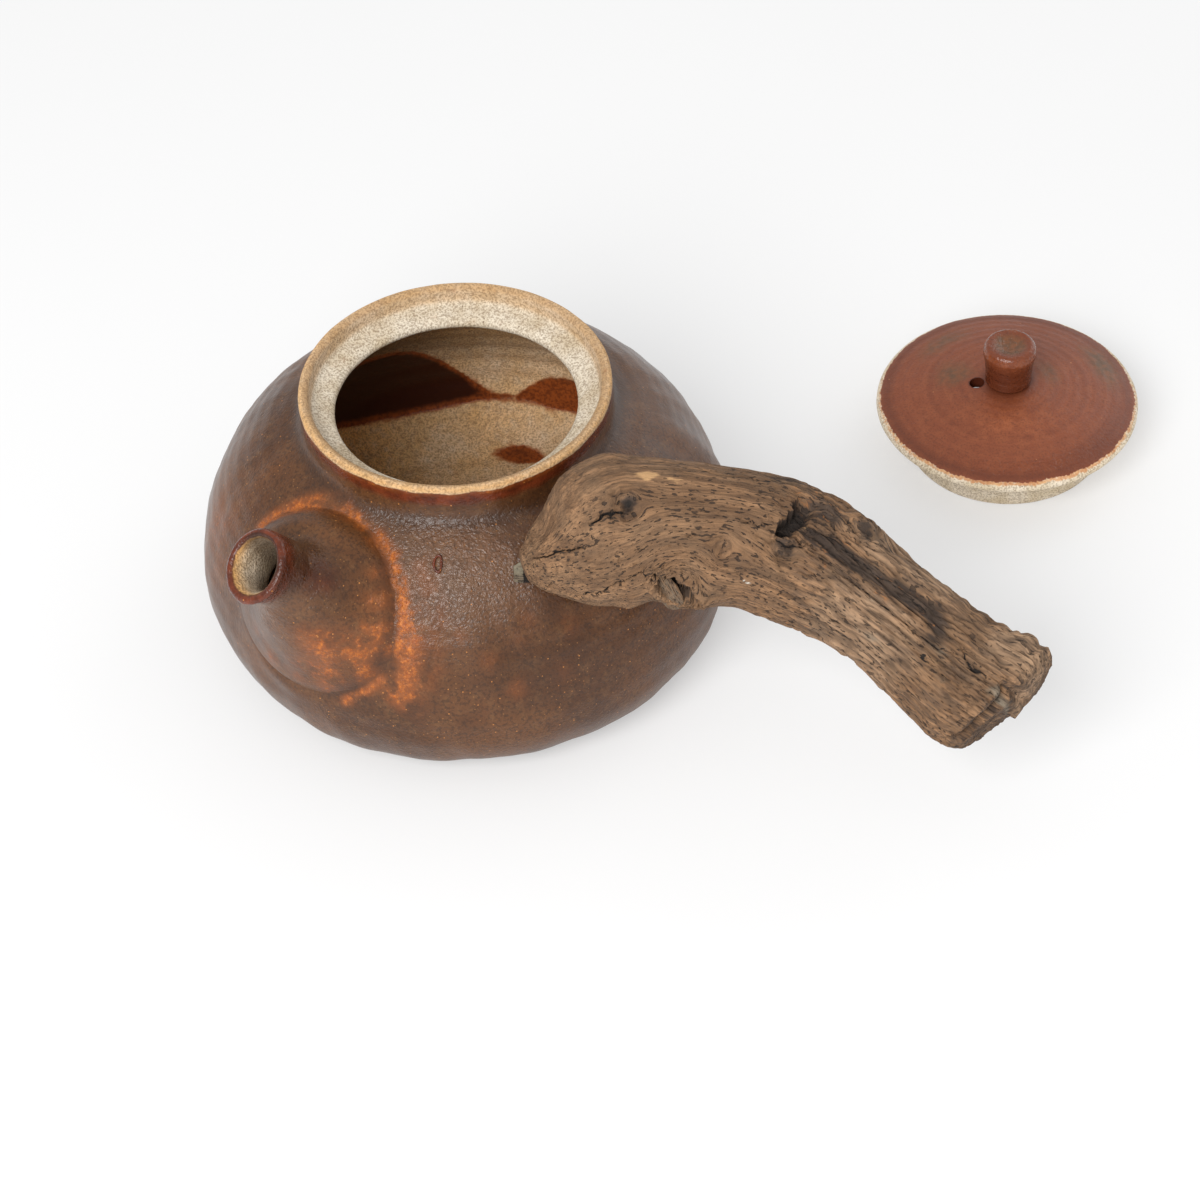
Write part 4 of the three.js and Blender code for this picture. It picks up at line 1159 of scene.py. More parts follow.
# %% [markdown]
# ## The driftwood handle
# The handle is a real branch: bent, oval, worn by water, with knots, a torn notch, cracks
# and a broken end. Nothing about it repeats, so it is drawn rather than grown by a rule.
# Stations along the pith say where it runs and how far the wood reaches on four sides.
# Everything else is carved into that loft, by depth, at places given as a distance from
# the inner end and a turn from the front towards the top edge. Modelling it by hand with a
# sculpting brush would give the same shape, but nobody could change it afterwards.

# %% The branch as a smooth loft
HANDLE_AZIMUTH, HANDLE_SEAT_HEIGHT = -51.5, 55.5
TENON_RADIUS, TENON_LENGTH, TENON_PLAY = 6.5, 12.0, 0.4
HANDLE_SEAT = seat_on(HANDLE_AZIMUTH, HANDLE_SEAT_HEIGHT)
END_LEAN, END_SWELL = 2.6, 2.8
GIRTH = 15.0
# The pith's place from the seat, the reach above, below, in front and behind, and the roll
BRANCH = np.array([
    [-15.6, -10.8, 3.6, 4.2, 5.4, 4.8, 4.8, 38], [-12.6, -10.2, 4.2, 7.6, 8.4, 7.6, 8.4, 39],
    [-8.0, -9.0, 4.9, 11.2, 11.8, 10.2, 10.6, 40], [-2.6, -7.6, 5.4, 15.6, 14.8, 12.2, 12.4, 40],
    [4.5, -5.6, 5.9, 18.4, 17.4, 13.8, 14.2, 40], [13.5, -4.2, 5.5, 17.0, 16.6, 14.4, 14.4, 42],
    [24.9, -3.9, 3.5, 16.2, 16.6, 14.5, 14.6, 44], [36.4, -4.6, 0.8, 16.2, 15.4, 14.5, 14.4, 46],
    [47.7, -7.8, -2.5, 16.0, 15.8, 14.3, 14.2, 48], [58.7, -14.1, -6.5, 14.5, 14.4, 13.8, 13.8, 50],
    [67.3, -21.7, -10.0, 14.2, 13.2, 13.5, 13.4, 52], [75.7, -29.6, -14.0, 14.8, 13.7, 13.5, 13.2, 54],
    [83.1, -36.3, -17.5, 16.0, 14.6, 13.4, 13.0, 55], [89.1, -41.4, -19.8, 17.2, 13.8, 13.0, 12.6, 55],
])


def curve(table, t):
    """A smooth curve through the rows of a table."""
    last = len(table) - 1
    t = np.clip(t, 0, 1) * last
    row = np.minimum(t.astype(int), last - 1)
    past = (t - row)[:, None]
    full = np.vstack([2 * table[0] - table[1], table, 2 * table[-1] - table[-2]])
    here, ahead = full[row + 1], full[row + 2]
    start, end = (ahead - full[row]) / 2, (full[row + 3] - here) / 2
    bent = (2 * here - 2 * ahead + start + end) * past**3
    return bent + (-3 * here + 3 * ahead - 2 * start - end) * past**2 + start * past + here


def branch_frames(t):
    """The station, the way along, the way to the top edge and the way to the front."""
    station = curve(BRANCH, t)
    step = curve(BRANCH, t + 1e-4) - curve(BRANCH, t - 1e-4)
    along = unit(step[:, :3])
    side = unit(np.cross(along, [0, 0, 1]))
    over = np.cross(side, along)
    roll = np.radians(station[:, 7:8])
    top = over * np.cos(roll) - side * np.sin(roll)
    return station, along, top, side * np.cos(roll) + over * np.sin(roll)


# %% [markdown]
# The fibres part round each knot as a stream parts round a stone, so the formula for such
# a stream bends a pair of fibre coordinates. The finish draws its grain in them, and the
# carving uses them for the ribs that weather leaves between soft and hard wood.

# %% Fibres that flow round the knots
# Distance from the inner end, turn and size
KNOTS = (
    (35.0, -56, 6.6), (44.6, -12, 2.2), (23.6, 23, 2.8), (75.0, 60, 3.4), (60.5, 4, 2.8),
    (20.0, 150, 3.0), (92.0, 190, 4.0), (55.0, -130, 3.2),
)


def flowing(s, turn, reach):
    """Fibre coordinates of places on the branch, as points round a straight stick."""
    y = np.radians(turn) * GIRTH
    ahead, across = s.copy(), y.copy()
    for place, at, size in KNOTS:
        past, beyond = s - place, np.radians(around(turn, at)) * GIRTH
        near = size**2 / np.maximum(past**2 + beyond**2, (0.85 * size) ** 2)
        ahead += past * near * 0.5
        across -= beyond * near
    wrapped = across / GIRTH
    return np.stack([ahead, reach * np.cos(wrapped), reach * np.sin(wrapped)], 1)


def beside(s, turn, line):
    """How far each place is from a line drawn on the branch, in millimetres."""
    y = np.radians(turn) * GIRTH
    best = np.full(len(s), 99.0)
    for (s0, a0), (s1, a1) in zip(line[:-1], line[1:]):
        y0, y1 = radians(a0) * GIRTH, radians(a1) * GIRTH
        run = (s1 - s0) ** 2 + (y1 - y0) ** 2
        share = np.clip(((s - s0) * (s1 - s0) + (y - y0) * (y1 - y0)) / run, 0, 1)
        best = np.minimum(best, np.hypot(s - s0 - share * (s1 - s0), y - y0 - share * (y1 - y0)))
    return best


def spot(s, turn, place, at, length, width, reach=GIRTH):
    """A soft spot on the branch, 1 in its middle."""
    return bell(s - place, length, np.radians(around(turn, at)) * reach, width)


def spots(s, turn, table, join=np.maximum, reach=GIRTH):
    """The strongest of a table's spots at each place, or with np.add all of them together."""
    total = np.zeros(len(s))
    for place, at, length, width, strength in table:
        total = join(total, strength * spot(s, turn, place, at, length, width, reach))
    return total


# %% What weather and breakage took away
# Place along, turn, length, width and depth; a swelling has a depth below zero
MARKS = (
    (12.0, 72, 4.6, 7.0, -1.6), (6.2, 66, 3.4, 6.0, 3.8), (43.0, -62, 4.0, 4.0, -1.0),
    (23.0, 82, 4.0, 4.0, -0.8), (27.0, 74, 2.6, 3.0, 0.8), (3.2, -58, 1.0, 2.0, 1.0),
    (54.0, 30, 3.4, 6.0, -0.8), (86.0, 26, 20.0, 5.0, 0.9), (90.0, 1, 13.0, 2.6, 0.9),
    (92.0, 50, 18.0, 3.4, -1.1), (90.0, 13, 15.0, 2.2, -0.5), (95.0, -14, 18.0, 3.4, -0.9),
    (75.0, 63, 4.5, 4.2, -1.3), (83.0, 73, 2.6, 3.6, 1.5), (23.6, 25, 2.2, 1.7, 1.5),
    (44.6, -12, 1.8, 1.6, 0.9), (60.5, 2, 4.6, 3.4, 1.2), (69.5, 62, 2.0, 3.6, 1.0),
    (119.0, 70, 4.6, 6.0, -2.2), (84.0, 190, 24.0, 7.0, 1.4), (112.0, 4, 7.0, 3.0, 0.7),
    (70.0, 44, 2.4, 1.6, -0.8), (66.0, 56, 1.6, 2.4, -0.9), (79.0, 48, 2.6, 2.0, 0.8),
)
# Lines of places and turns, the width and the depth of each crack
CRACKS = (
    ([(2.0, 15), (4.7, 7), (6.7, 9), (10, 3), (13, 2)], 0.26, 1.0),
    ([(7.0, -72), (10.4, -50), (14.5, -47), (15, -42), (22.5, -33), (27, -34)], 0.3, 1.1),
    ([(3.1, -66), (3.7, -38)], 0.4, 1.3),
    ([(15.1, 21), (17.1, 21), (20, 18), (23, 22)], 0.4, 1.3),
    ([(48, 15), (51, 12), (55.3, 13)], 0.32, 0.7),
    ([(55.3, -2), (57.5, 5), (56, 13)], 0.4, 1.0),
    ([(57.5, 5), (61, 2), (64, 8), (65.8, 14)], 0.36, 0.8),
    ([(66, 30), (78, 27), (90, 33), (99, 30)], 0.3, 0.5),
    ([(80, 7), (90, 6), (101, 6), (109, 12)], 0.3, 0.45),
    ([(99, -3), (106, -6), (112, -12)], 0.3, 0.4),
    ([(70, -42), (84, -44), (101, -50)], 0.34, 0.6),
    ([(109, 22), (114, 12), (117, 15), (119, 10)], 0.4, 0.8),
    ([(36, 62), (47, 60), (55, 63)], 0.34, 0.5),
    ([(6, 60), (14, 58), (22, 62)], 0.2, 0.25),
    ([(30, -100), (50, -104), (74, -96)], 0.5, 1.0),
    ([(18, 128), (44, 122), (71, 126)], 0.5, 1.0),
)
# Places of spots where the wood has crumbled, as for MARKS, and each one's strength
CRUMBLED = (
    (68, 56, 11, 5.5, 1.0), (60, 2, 6, 4, 1.0), (113, 0, 8, 12, 0.5),
    (23.4, 26, 3.2, 3.0, 1.2), (22, 15, 1.6, 3.0, 0.8), (56, 36, 5, 8, 0.8),
)
PITTED = ((33, -14, 12, 6, 1.0), (17, -25, 9, 7, 0.6))
# Place along, turn, lean in degrees, length and width of the knot hollow
HOLLOW_PLACE, HOLLOW_TURN, HOLLOW_LEAN, HOLLOW_LONG, HOLLOW_WIDE = 34.6, -56, -34, 7.6, 3.0
NOTCH_PLACE, NOTCH_TURN = 57.2, 13
LONG_GROOVE = ((63, 24), (77, 22), (89, 28), (98, 33), (105, 22))


def hollow_at(s, turn):
    """Elliptic reach from the middle of the knot hollow, 1 on its rim."""
    x, y = s - HOLLOW_PLACE, np.radians(around(turn, HOLLOW_TURN)) * GIRTH
    lean = radians(HOLLOW_LEAN)
    long, short = x * cos(lean) + y * sin(lean), -x * sin(lean) + y * cos(lean)
    ragged = 0.16 * np.sin(2.1 * x + 1.2) * np.cos(1.7 * y) + 0.1 * np.sin(4.3 * y + 2.9 * x)
    wide = HOLLOW_WIDE + 0.9 * smooth(long, -5, 6)
    return np.hypot(long / HOLLOW_LONG, short / wide) + ragged, long


def notch_at(s, turn):
    """How far behind the torn edge of the notch a place lies, and the notch's share there."""
    back = s - (NOTCH_PLACE + 0.075 * (turn - NOTCH_TURN) + 0.9 * np.sin(turn / 4.2) * 0.4)
    return back, smooth(turn, 9, 15) * fading(turn, 48, 58)


def furrows(fibres):
    """Thin winding lines along the fibres, where the soft wood has gone; 1 in a line."""
    wide = 1 - 2.4 * np.abs(noise(fibres / [13, 1.7, 1.7], 1, 28))
    thin = 1 - 2.0 * np.abs(noise(fibres / [8, 0.95, 0.95], 1, 29))
    return np.maximum(smooth(wide, 0.4, 1.0), 0.7 * smooth(thin, 0.5, 1.0))


def band(s, turn):
    """The long charred groove of the outer half."""
    return bell(beside(s, turn, LONG_GROOVE), 3.5) * smooth(s, 60, 66) * fading(s, 101, 110)


def crack_ends(s, line):
    """Fades a crack out at both ends of its line."""
    first, last = line[0][0], line[-1][0]
    return smooth(s, first - 1, first + 2) * fading(s, last - 2, last + 1)


def wavered(s, turn):
    """The same places moved a little at random, so that what is carved there is ragged."""
    at = np.stack([s, GIRTH * np.cos(np.radians(turn)), GIRTH * np.sin(np.radians(turn))], 1)
    return s + 0.6 * noise(at, 1.9, 35, 2), turn + 3.0 * noise(at, 1.9, 36, 2)


def carving(s, turn, reach, fibres, points):
    """How deep the wood is carved at each place."""
    s, turn = wavered(s, turn)
    depth = spots(s, turn, MARKS, np.add, reach)
    for line, width, deep in CRACKS:
        depth += deep * bell(beside(s, turn, line), width) * (0.35 + 0.65 * crack_ends(s, line))
    back, share = notch_at(s, turn)
    depth += 2.8 * smooth(back, 0, 0.6) * fading(back, 3.4, 5.0) * share
    depth += 1.4 * smooth(back, 0, 0.9) * fading(back, 4, 13) * share
    hole, long = hollow_at(s, turn)
    depth += (4.6 + 3.4 * smooth(long, 0, 6)) * fading(hole, 0.62, 1.02)
    depth -= 0.7 * bell(hole - 1.25, 0.22)
    bites = np.abs(np.sin(pi * (s - 98.5) / 5.4 + 0.5 * noise(points, 6, 22)))
    depth += 1.1 * (1 - bites) * smooth(s, 97, 101) * bell(around(turn, 78), 20)
    # Soft wood has weathered back between the fibres, most on the outer half
    outer = smooth(s, 52, 66)
    rough = 0.5 + 0.6 * outer + 0.5 * spot(s, turn, 60, 4, 7, 5)
    ribs = 0.2 * noise(fibres / [11, 1.5, 1.5], 1, 23) + 0.16 * noise(fibres / [6, 0.75, 0.75], 1, 24)
    depth += rough * (ribs + 0.25 * noise(points, 3.2, 25, 2))
    depth += (0.2 + 0.4 * outer + 0.35 * band(s, turn)) * furrows(fibres)
    crumbled = spots(s, turn, CRUMBLED, np.add) + 0.7 * fading(s, 1, 5)
    depth += crumbled.clip(0, 1.2) * np.abs(noise(points, 2.4, 30, 3))
    pits = smooth(noise(fibres / [2.0, 0.6, 0.6], 1, 26), 0.42, 0.62)
    busy = 0.25 + spots(s, turn, PITTED, np.add)
    depth += 0.34 * pits * busy.clip(0, 1)
    return depth + 0.45 * noise(points, 13, 27, 2)


# %% [markdown]
# The free end is broken, not sawn. Its outer layer, a few millimetres thick, has split off
# from the rest and ends short of it, which shows as a dark gap with a ragged flake behind
# it. The top corner is a rounded lobe with a notch beside it.

# %% Loft, carve and cut the branch
SPLIT_PLACE, SPLIT_SLOPE, SPLIT_DEPTH = (7.5, -5.5), 0.218, 5.2


def broken_end(fore, high, scale, points):
    """How far the end stands out at a place across the section, and its share of the gap."""
    stand = END_SWELL * (1 - scale**12)
    jagged = noise(points, 3.4, 31, 2)
    stand += scale.clip(0, 0.97) * (0.5 * np.round(jagged * 3) / 3 + 0.35 * noise(points, 1.3, 33, 2))
    layer = fore - SPLIT_PLACE[0] - SPLIT_SLOPE * (high - SPLIT_PLACE[1])
    layer += 0.7 * noise(points, 4, 32) + 0.25 * noise(points, 1.3, 34)
    flat = fading(high, 3.6, 5.2)
    front = smooth(layer, -0.2, 0.4) * flat
    stand = stand * (1 - front) + np.minimum(stand, 0.5 + 0.3 * jagged) * front
    gap = np.exp(-((layer / 0.8) ** 4)) * flat * smooth(scale, 0.1, 0.4)
    stand -= 2.4 * bell(high - 5.0, 1.4) * smooth(fore, -2, 6)
    return stand - SPLIT_DEPTH * gap - 0.8 * smooth(high, 9, 16), gap


WOOD_ROWS, WOOD_SIDES, INNER_ROWS, END_ROWS = 300, 264, 12, 42
BRANCH_PLACES = ("along", "turn", "broken", "gap")


def carve_branch():
    """The branch, with each point's fibre place, place along, turn and share of the gap."""
    rise = np.linspace(0.06, 1.5, INNER_ROWS)
    t = np.concatenate([np.zeros(INNER_ROWS), np.linspace(0, 1, WOOD_ROWS), np.ones(END_ROWS)])
    fall = np.linspace(0.995, 0.03, END_ROWS)
    scale = np.concatenate([np.sin(rise), np.ones(WOOD_ROWS), fall])
    push = np.concatenate([-1.1 * np.cos(rise), np.zeros(WOOD_ROWS + END_ROWS)])
    station, along, top, face = branch_frames(t)
    steps = np.linalg.norm(np.diff(station[:, :3], axis=0), axis=1)
    s = np.repeat(np.concatenate([[0], np.cumsum(steps)]), WOOD_SIDES)
    turns = np.linspace(-180, 180, WOOD_SIDES, endpoint=False)
    turn = np.tile(turns, len(t))
    up, out = np.sin(np.radians(turns))[None, :], np.cos(np.radians(turns))[None, :]
    high = up * np.where(up > 0, station[:, 3:4], station[:, 4:5])
    fore = out * np.where(out > 0, station[:, 5:6], station[:, 6:7])
    reach = np.hypot(high, fore)
    away = top[:, None] * high[..., None] + face[:, None] * fore[..., None]
    pith = HANDLE_SEAT[0] + station[:, None, :3]
    fibres = flowing(s, turn, reach.ravel())
    depth = carving(s, turn, reach.ravel(), fibres, (pith + away).reshape(-1, 3))
    keep = (1 - depth.reshape(high.shape) / reach) * scale[:, None]
    points = pith + away * keep[..., None]
    scales = np.repeat(scale, WOOD_SIDES)
    stand, gap = broken_end((fore * keep).ravel(), (high * keep).ravel(), scales, points.reshape(-1, 3))
    at_end = smooth(t, 0.985, 1.0)[:, None]
    lean = END_LEAN * up * smooth(t, 0.9, 1.0)[:, None] + push[:, None]
    lean = lean + stand.reshape(high.shape) * at_end
    piece = loft("driftwood", points + along[:, None] * lean[..., None])
    fibres[:, 1:] *= scales[:, None]
    ended = np.where((scales < 0.999) & (s > 1), 1.0, 0.0)
    gap = gap * np.repeat(at_end.ravel(), WOOD_SIDES)
    paint(piece, "grain", np.vstack([fibres, fibres[[0, -1]]]))
    # The values at the two poles, where the loft is closed by a fan, follow the others
    poles = ([0, s[-1]], [0, 0], [0, 1], [0, 0])
    for name, values, ends in zip(BRANCH_PLACES, (s, turn, ended, gap), poles):
        paint(piece, name, np.append(values, ends))
    return piece


def grown_pot():
    """The pot's outside as one solid, grown by the width of a seam."""
    run = unit(np.gradient(OUTSIDE, axis=0))
    line = OUTSIDE + SEAM * np.stack([run[:, 1], -run[:, 0]], 1)
    line = np.vstack([line, [LIP_RADIUS + SEAM, RIM_HEIGHT + SEAM]])
    circle = ring(160, np.array([1, 0, 0]), np.array([0, 1, 0]))
    return loft("envelope", np.array([radius * circle + [0, 0, height] for radius, height in line]))


WEDGE_LENGTH, WEDGE_WIDTH, WEDGE_THICKNESS, WEDGE_TAPER = 9.0, 5.4, 2.4, 0.5
WEDGE_FROM_SEAT, WEDGE_OUT = (-17.7, -9.95, 0.15), 0.9
RECESS_RADIUS, RECESS_REACH = 1.9, 2.9


def wedge_frame():
    """The wedge's outer end, and the ways inwards, outwards and sideways from there."""
    place = HANDLE_SEAT[0] + WEDGE_FROM_SEAT
    azimuth = polar(place[None])[0][0]
    normal = seat_on(azimuth, place[2])[1]
    inwards = unit(np.array([1, 0, 0]) - normal * normal[0])
    return place, inwards, normal, np.cross(inwards, normal)


def chip(name, grow, rough=0.0):
    """The wedge as a tapering loft; rough chips its faces."""
    place, inwards, normal, side = wedge_frame()
    rings = []
    for x in np.linspace(-grow - (WEDGE_OUT if rough else 0), WEDGE_LENGTH + grow, 40):
        share = x / WEDGE_LENGTH
        low = -(WEDGE_THICKNESS / 2 + grow) * (1 - WEDGE_TAPER / 2 * share)
        high = (WEDGE_THICKNESS / 2 + grow) * (1 - WEDGE_TAPER * share)
        wide = WEDGE_WIDTH / 2 + grow
        edge = [(-wide, low), (wide, low), (wide, high), (-wide, high)]
        line = np.array([
            np.array(p) + (np.array(q) - p) * k for p, q in zip(edge, edge[1:] + edge[:1])
            for k in np.linspace(0, 1, 14, endpoint=False)
        ])
        rings.append(place + inwards * x + side * line[:, :1] + normal * line[:, 1:])
    points = np.array(rings)
    if rough:
        flat = points.reshape(-1, 3)
        middle = np.repeat(points.mean(1), points.shape[1], axis=0)
        away = flat - place
        grain = np.stack([away @ inwards / 5, away @ side, away @ normal], 1)
        bite = rough * (0.5 + 0.5 * noise(grain, 0.9, 41, 2)) + 0.5 * rough * (1 + noise(flat, 3, 42))
        flat = flat + unit(middle - flat) * bite[:, None]
        blunt = smooth(-(flat - place) @ inwards, -0.9, WEDGE_OUT)
        flat = flat + (middle - flat) * (0.3 * blunt * (1 + noise(flat, 1.6, 43)))[:, None]
        points = flat.reshape(points.shape)
    return loft(name, points, crease=60)


def bore():
    """The blind hole in the wood that the tenon fills."""
    foot, normal, _, _ = HANDLE_SEAT
    return rod("bore", TENON_RADIUS + TENON_PLAY, foot, normal, -2 * WALL, TENON_LENGTH + TENON_PLAY)


def wedge_recess():
    """The hole that the wood has torn open round the wedge's mouth."""
    mouth, inwards, normal, side = wedge_frame()
    foot = mouth + 0.6 * inwards + 1.5 * normal
    return rod("recess", RECESS_RADIUS, foot, side, -RECESS_REACH, RECESS_REACH)


driftwood = carve_branch()
cut(driftwood, grown_pot(), bore(), chip("slot", SEAM), wedge_recess())
tell(driftwood)

# %% [markdown]
# The wood's colour follows its fibres: long soft stripes, and short dark pores lying along
# the grain. Charred bands, grey weathered patches, rust-coloured flecks and fresh chips are
# masks painted from their places on the branch, and most are frayed along the fibres. The
# dark of the cracks, the knot hollow, the notch's torn face and the split end is painted shade.

# %% Wood finish
WOOD_MASKS = ("char_and_shade", "grey", "pale", "rust", "pores", "crack", "furrow", "rough", "tan", "white")


def wood(name, light, mid, deep):
    """Weathered wood with its grain along the stored fibre coordinates."""
    f = Finish(name)
    fibre = f.add("ShaderNodeAttribute", output="Vector", attribute_name="grain")

    def along_grain(length, width, detail=3.0, rough=0.55, warp=0.0):
        return f.noise(1.0, detail, f.stretched(fibre, (length, width, width)), rough, warp)

    def patch(mask, length, width, low, high, depth=0.9):
        ragged = f.times(f.minus(along_grain(length, width, 5), 0.5), depth)
        return f.range(f.plus(f.mask(mask), ragged), low, high)

    stripe = f.range(along_grain(26, 2.6), 0.36, 0.66)
    weathered = f.times(f.mask("rough"), f.range(along_grain(8, 1.1, 5, 0.6), 0.4, 0.7))
    fleck = f.range(along_grain(2.6, 0.9, 4, 0.6, 0.4), 0.6, 0.68)
    pore = f.range(along_grain(1.7, 0.46, 2, 0.4), 0.60, 0.655)
    pore = f.times(pore, f.range(f.plus(f.mask("pores"), along_grain(9, 3)), 0.5, 0.9))
    charcoal = f.mix(stripe, rgb(38, 30, 26), rgb(66, 54, 46))
    color = f.coats(
        f.mix(stripe, mid, light),
        (f.range(along_grain(9, 0.7, 4), 0.5, 0.72), deep, 0.6),
        (f.range(along_grain(5, 0.38, 3, 0.6), 0.42, 0.66), deep, 0.52),
        (patch("tan", 6, 1.5, 0.2, 1.0), rgb(176, 144, 114), 0.75),
        (f.range(f.noise(7, 4), 0.4, 0.68), rgb(118, 94, 71), 0.35),
        (weathered, rgb(84, 66, 52)),
        (patch("grey", 3, 1.2, 0.4, 0.9), rgb(128, 118, 102), 0.7),
        (patch("pale", 4, 0.8, 0.4, 0.8), rgb(182, 143, 100)),
        # Charred bands, with painted shade on the notch's torn face and in the knot hollow
        (patch("char_and_shade", 7, 0.8, 0.34, 0.72, 1.3), charcoal, 0.88),
        (f.times(fleck, f.mask("rust")), rgb(176, 112, 58), 0.85),
        (pore, rgb(44, 33, 25), 0.85),
        (f.mask("furrow"), rgb(46, 35, 27), 0.8),
        # Painted shade in cracks, pits, the knot hollow and the split at the end
        (patch("crack", 2.0, 0.5, 0.36, 0.56, 0.4), rgb(26, 19, 14)),
        (f.mask("white"), rgb(214, 208, 196)),
    )
    height = f.minus(along_grain(7, 0.5, 4), f.times(pore, 0.8))
    height = f.plus(height, f.times(f.noise(0.7, 3), 0.35))
    return f.surface(color, 0.82, 0.54, height, shine=0.35)


DRIFTWOOD = wood("driftwood", rgb(152, 115, 82), rgb(112, 82, 56), rgb(66, 47, 33))


# Stains by the name of their mask: place along, turn, length, width and strength
STAINS = {
    "char_and_shade": (
        (92, 31, 7.0, 3.0, 1.1), (60.5, 2, 5.5, 4.0, 0.7), (66, 52, 8.0, 5.0, 0.72),
        (75, 55, 3.4, 3.0, 0.8), (82, 66, 2.6, 2.8, 0.75), (23.8, 25, 2.4, 2.4, 0.9),
        (21.6, 30, 1.6, 1.6, 0.55), (44.6, -12, 1.8, 1.6, 0.75), (58, 74, 9, 2.6, 0.66),
        (92, 45, 14, 3.0, 0.4), (33, 66, 8, 3.0, 0.45),
    ),
    "grey": (
        (92, -24, 5.5, 3.4, 0.7), (88, 6, 8, 2.2, 0.55), (106, 8, 6, 3.0, 0.55),
        (121.5, 9, 2.6, 2.2, 0.95), (110, -12, 4, 2.4, 0.5), (84, -10, 10, 4.5, 0.35),
    ),
    "pale": (
        (28.5, 48, 3.6, 1.3, 0.9), (33.5, 44, 3.0, 0.8, 0.7), (63.8, 30, 0.7, 2.6, 0.75),
        (50, 62, 9, 2.2, 0.35), (2.0, 2, 1.2, 4.5, 0.5),
    ),
    "rust": (
        (70.6, 9, 2.4, 1.6, 1.0), (87.1, 17, 2.2, 1.6, 1.0), (101.2, 26, 2.6, 2.0, 1.0),
        (66, 56, 8, 5, 0.8), (84, 30, 14, 3.2, 0.6), (76, -68, 16, 2.4, 0.5),
    ),
    "tan": ((58, 70, 12, 3, 0.5),),
    "white": ((54.1, -41, 0.7, 0.35, 1.0), (52.4, -40, 0.35, 0.25, 1.0)),
}
# The same for the pores, which add up, and where a strength below zero leaves fewer
PORES = (
    (33, -10, 15, 9, 0.5), (14, -18, 12, 10, 0.6), (45, 40, 18, 8, 0.35),
    (74, -48, 18, 5, 0.25), (10, 55, 10, 8, -0.3), (27, 46, 7, 4, -0.5),
)


def paint_wood(piece):
    """The branch's masks, from the places that the carving stored on its points."""
    stored = piece.data.attributes
    s, turn, broken, gap = (read(stored[name].data, "value", 1)[:, 0] for name in BRANCH_PLACES)
    s, turn = wavered(s, turn)
    shares = {name: spots(s, turn, table) for name, table in STAINS.items()}
    groove = band(s, turn)
    back, share = notch_at(s, turn)
    # Painted shade on the torn face of the notch, and in the knot hollow
    torn = smooth(back, -0.3, 0.3) * fading(back, 3.4, 4.8) * share
    hole, long = hollow_at(s, turn)
    # The broken end is darker, but for its upper side
    darker_end = 0.46 * broken * smooth(s, 100, 110) * fading(turn, 20, 60)
    char_and_shade = [shares["char_and_shade"], 0.8 * groove, 1.1 * torn, 0.9 * fading(hole, 0.8, 1.1), darker_end]
    shares["char_and_shade"] = np.maximum.reduce(char_and_shade)
    outer_half = 0.7 * smooth(s, 60, 84) * fading(s, 96, 112) * (1 - groove)
    end = smooth(s, 106, 116) * bell(around(turn, 55), 30)
    shares["tan"] = np.maximum.reduce([shares["tan"], outer_half, end])
    shares["white"] = smooth(shares["white"], 0.3, 0.6)
    shares["pores"] = (0.27 + spots(s, turn, PORES, np.add)).clip(0, 0.7)
    # Painted shade in the knot's pit, the hollow, the split end, the torn notch and the cracks
    knot = 0.55 * spot(s, turn, 23.8, 27, 1.9, 1.2)
    sunk = 0.95 * fading(hole, 0.66, 0.92) * smooth(long, -2.5, 1.5)
    crack = np.maximum.reduce([knot, sunk, 0.9 * gap, 0.5 * torn])
    for line, width, deep in CRACKS:
        dark = min(1, 0.5 + 0.35 * deep) * (0.4 + 0.6 * crack_ends(s, line))
        crack = np.maximum(crack, bell(beside(s, turn, line), 0.95 * width) * dark)
    shares["crack"] = crack
    lines = furrows(read(stored["grain"].data, "vector")) * (0.3 + 0.3 * smooth(s, 54, 68) + 0.5 * groove)
    shares["furrow"] = lines.clip(0, 0.75)
    shares["rough"] = (0.25 + 0.6 * smooth(s, 58, 70) + 0.35 * broken).clip(0, 1)
    masks(piece, WOOD_MASKS, **shares)
    for name in BRANCH_PLACES:
        stored.remove(stored[name])


paint_wood(driftwood)
dress(driftwood, DRIFTWOOD)
print("driftwood painted with", [a.name for a in driftwood.data.attributes if a.domain == "POINT"])

# %% [markdown]
# A splinter of grey wood stands in the knot hollow, held at its upper end. It is a loft of
# its own, a bent, tapering sliver with ribs along its fibres, set by two points on the
# branch so that it follows the hollow wherever the branch goes.

# %% The splinter in the hollow, and the wedge
def on_branch(s, turn, depth):
    """A point at a place on the branch, sunk by a depth."""
    t = np.linspace(0, 1, 800)
    path = curve(BRANCH, t)[:, :3]
    length = np.concatenate([[0], np.cumsum(np.linalg.norm(np.diff(path, axis=0), axis=1))])
    station, _, top, face = branch_frames(np.array([np.interp(s, length, t)]))
    up, out = sin(radians(turn)), cos(radians(turn))
    high = up * station[0, 3 if up > 0 else 4]
    fore = out * station[0, 5 if out > 0 else 6]
    away = top[0] * high + face[0] * fore
    return HANDLE_SEAT[0] + station[0, :3] + away * (1 - depth / np.linalg.norm(away))


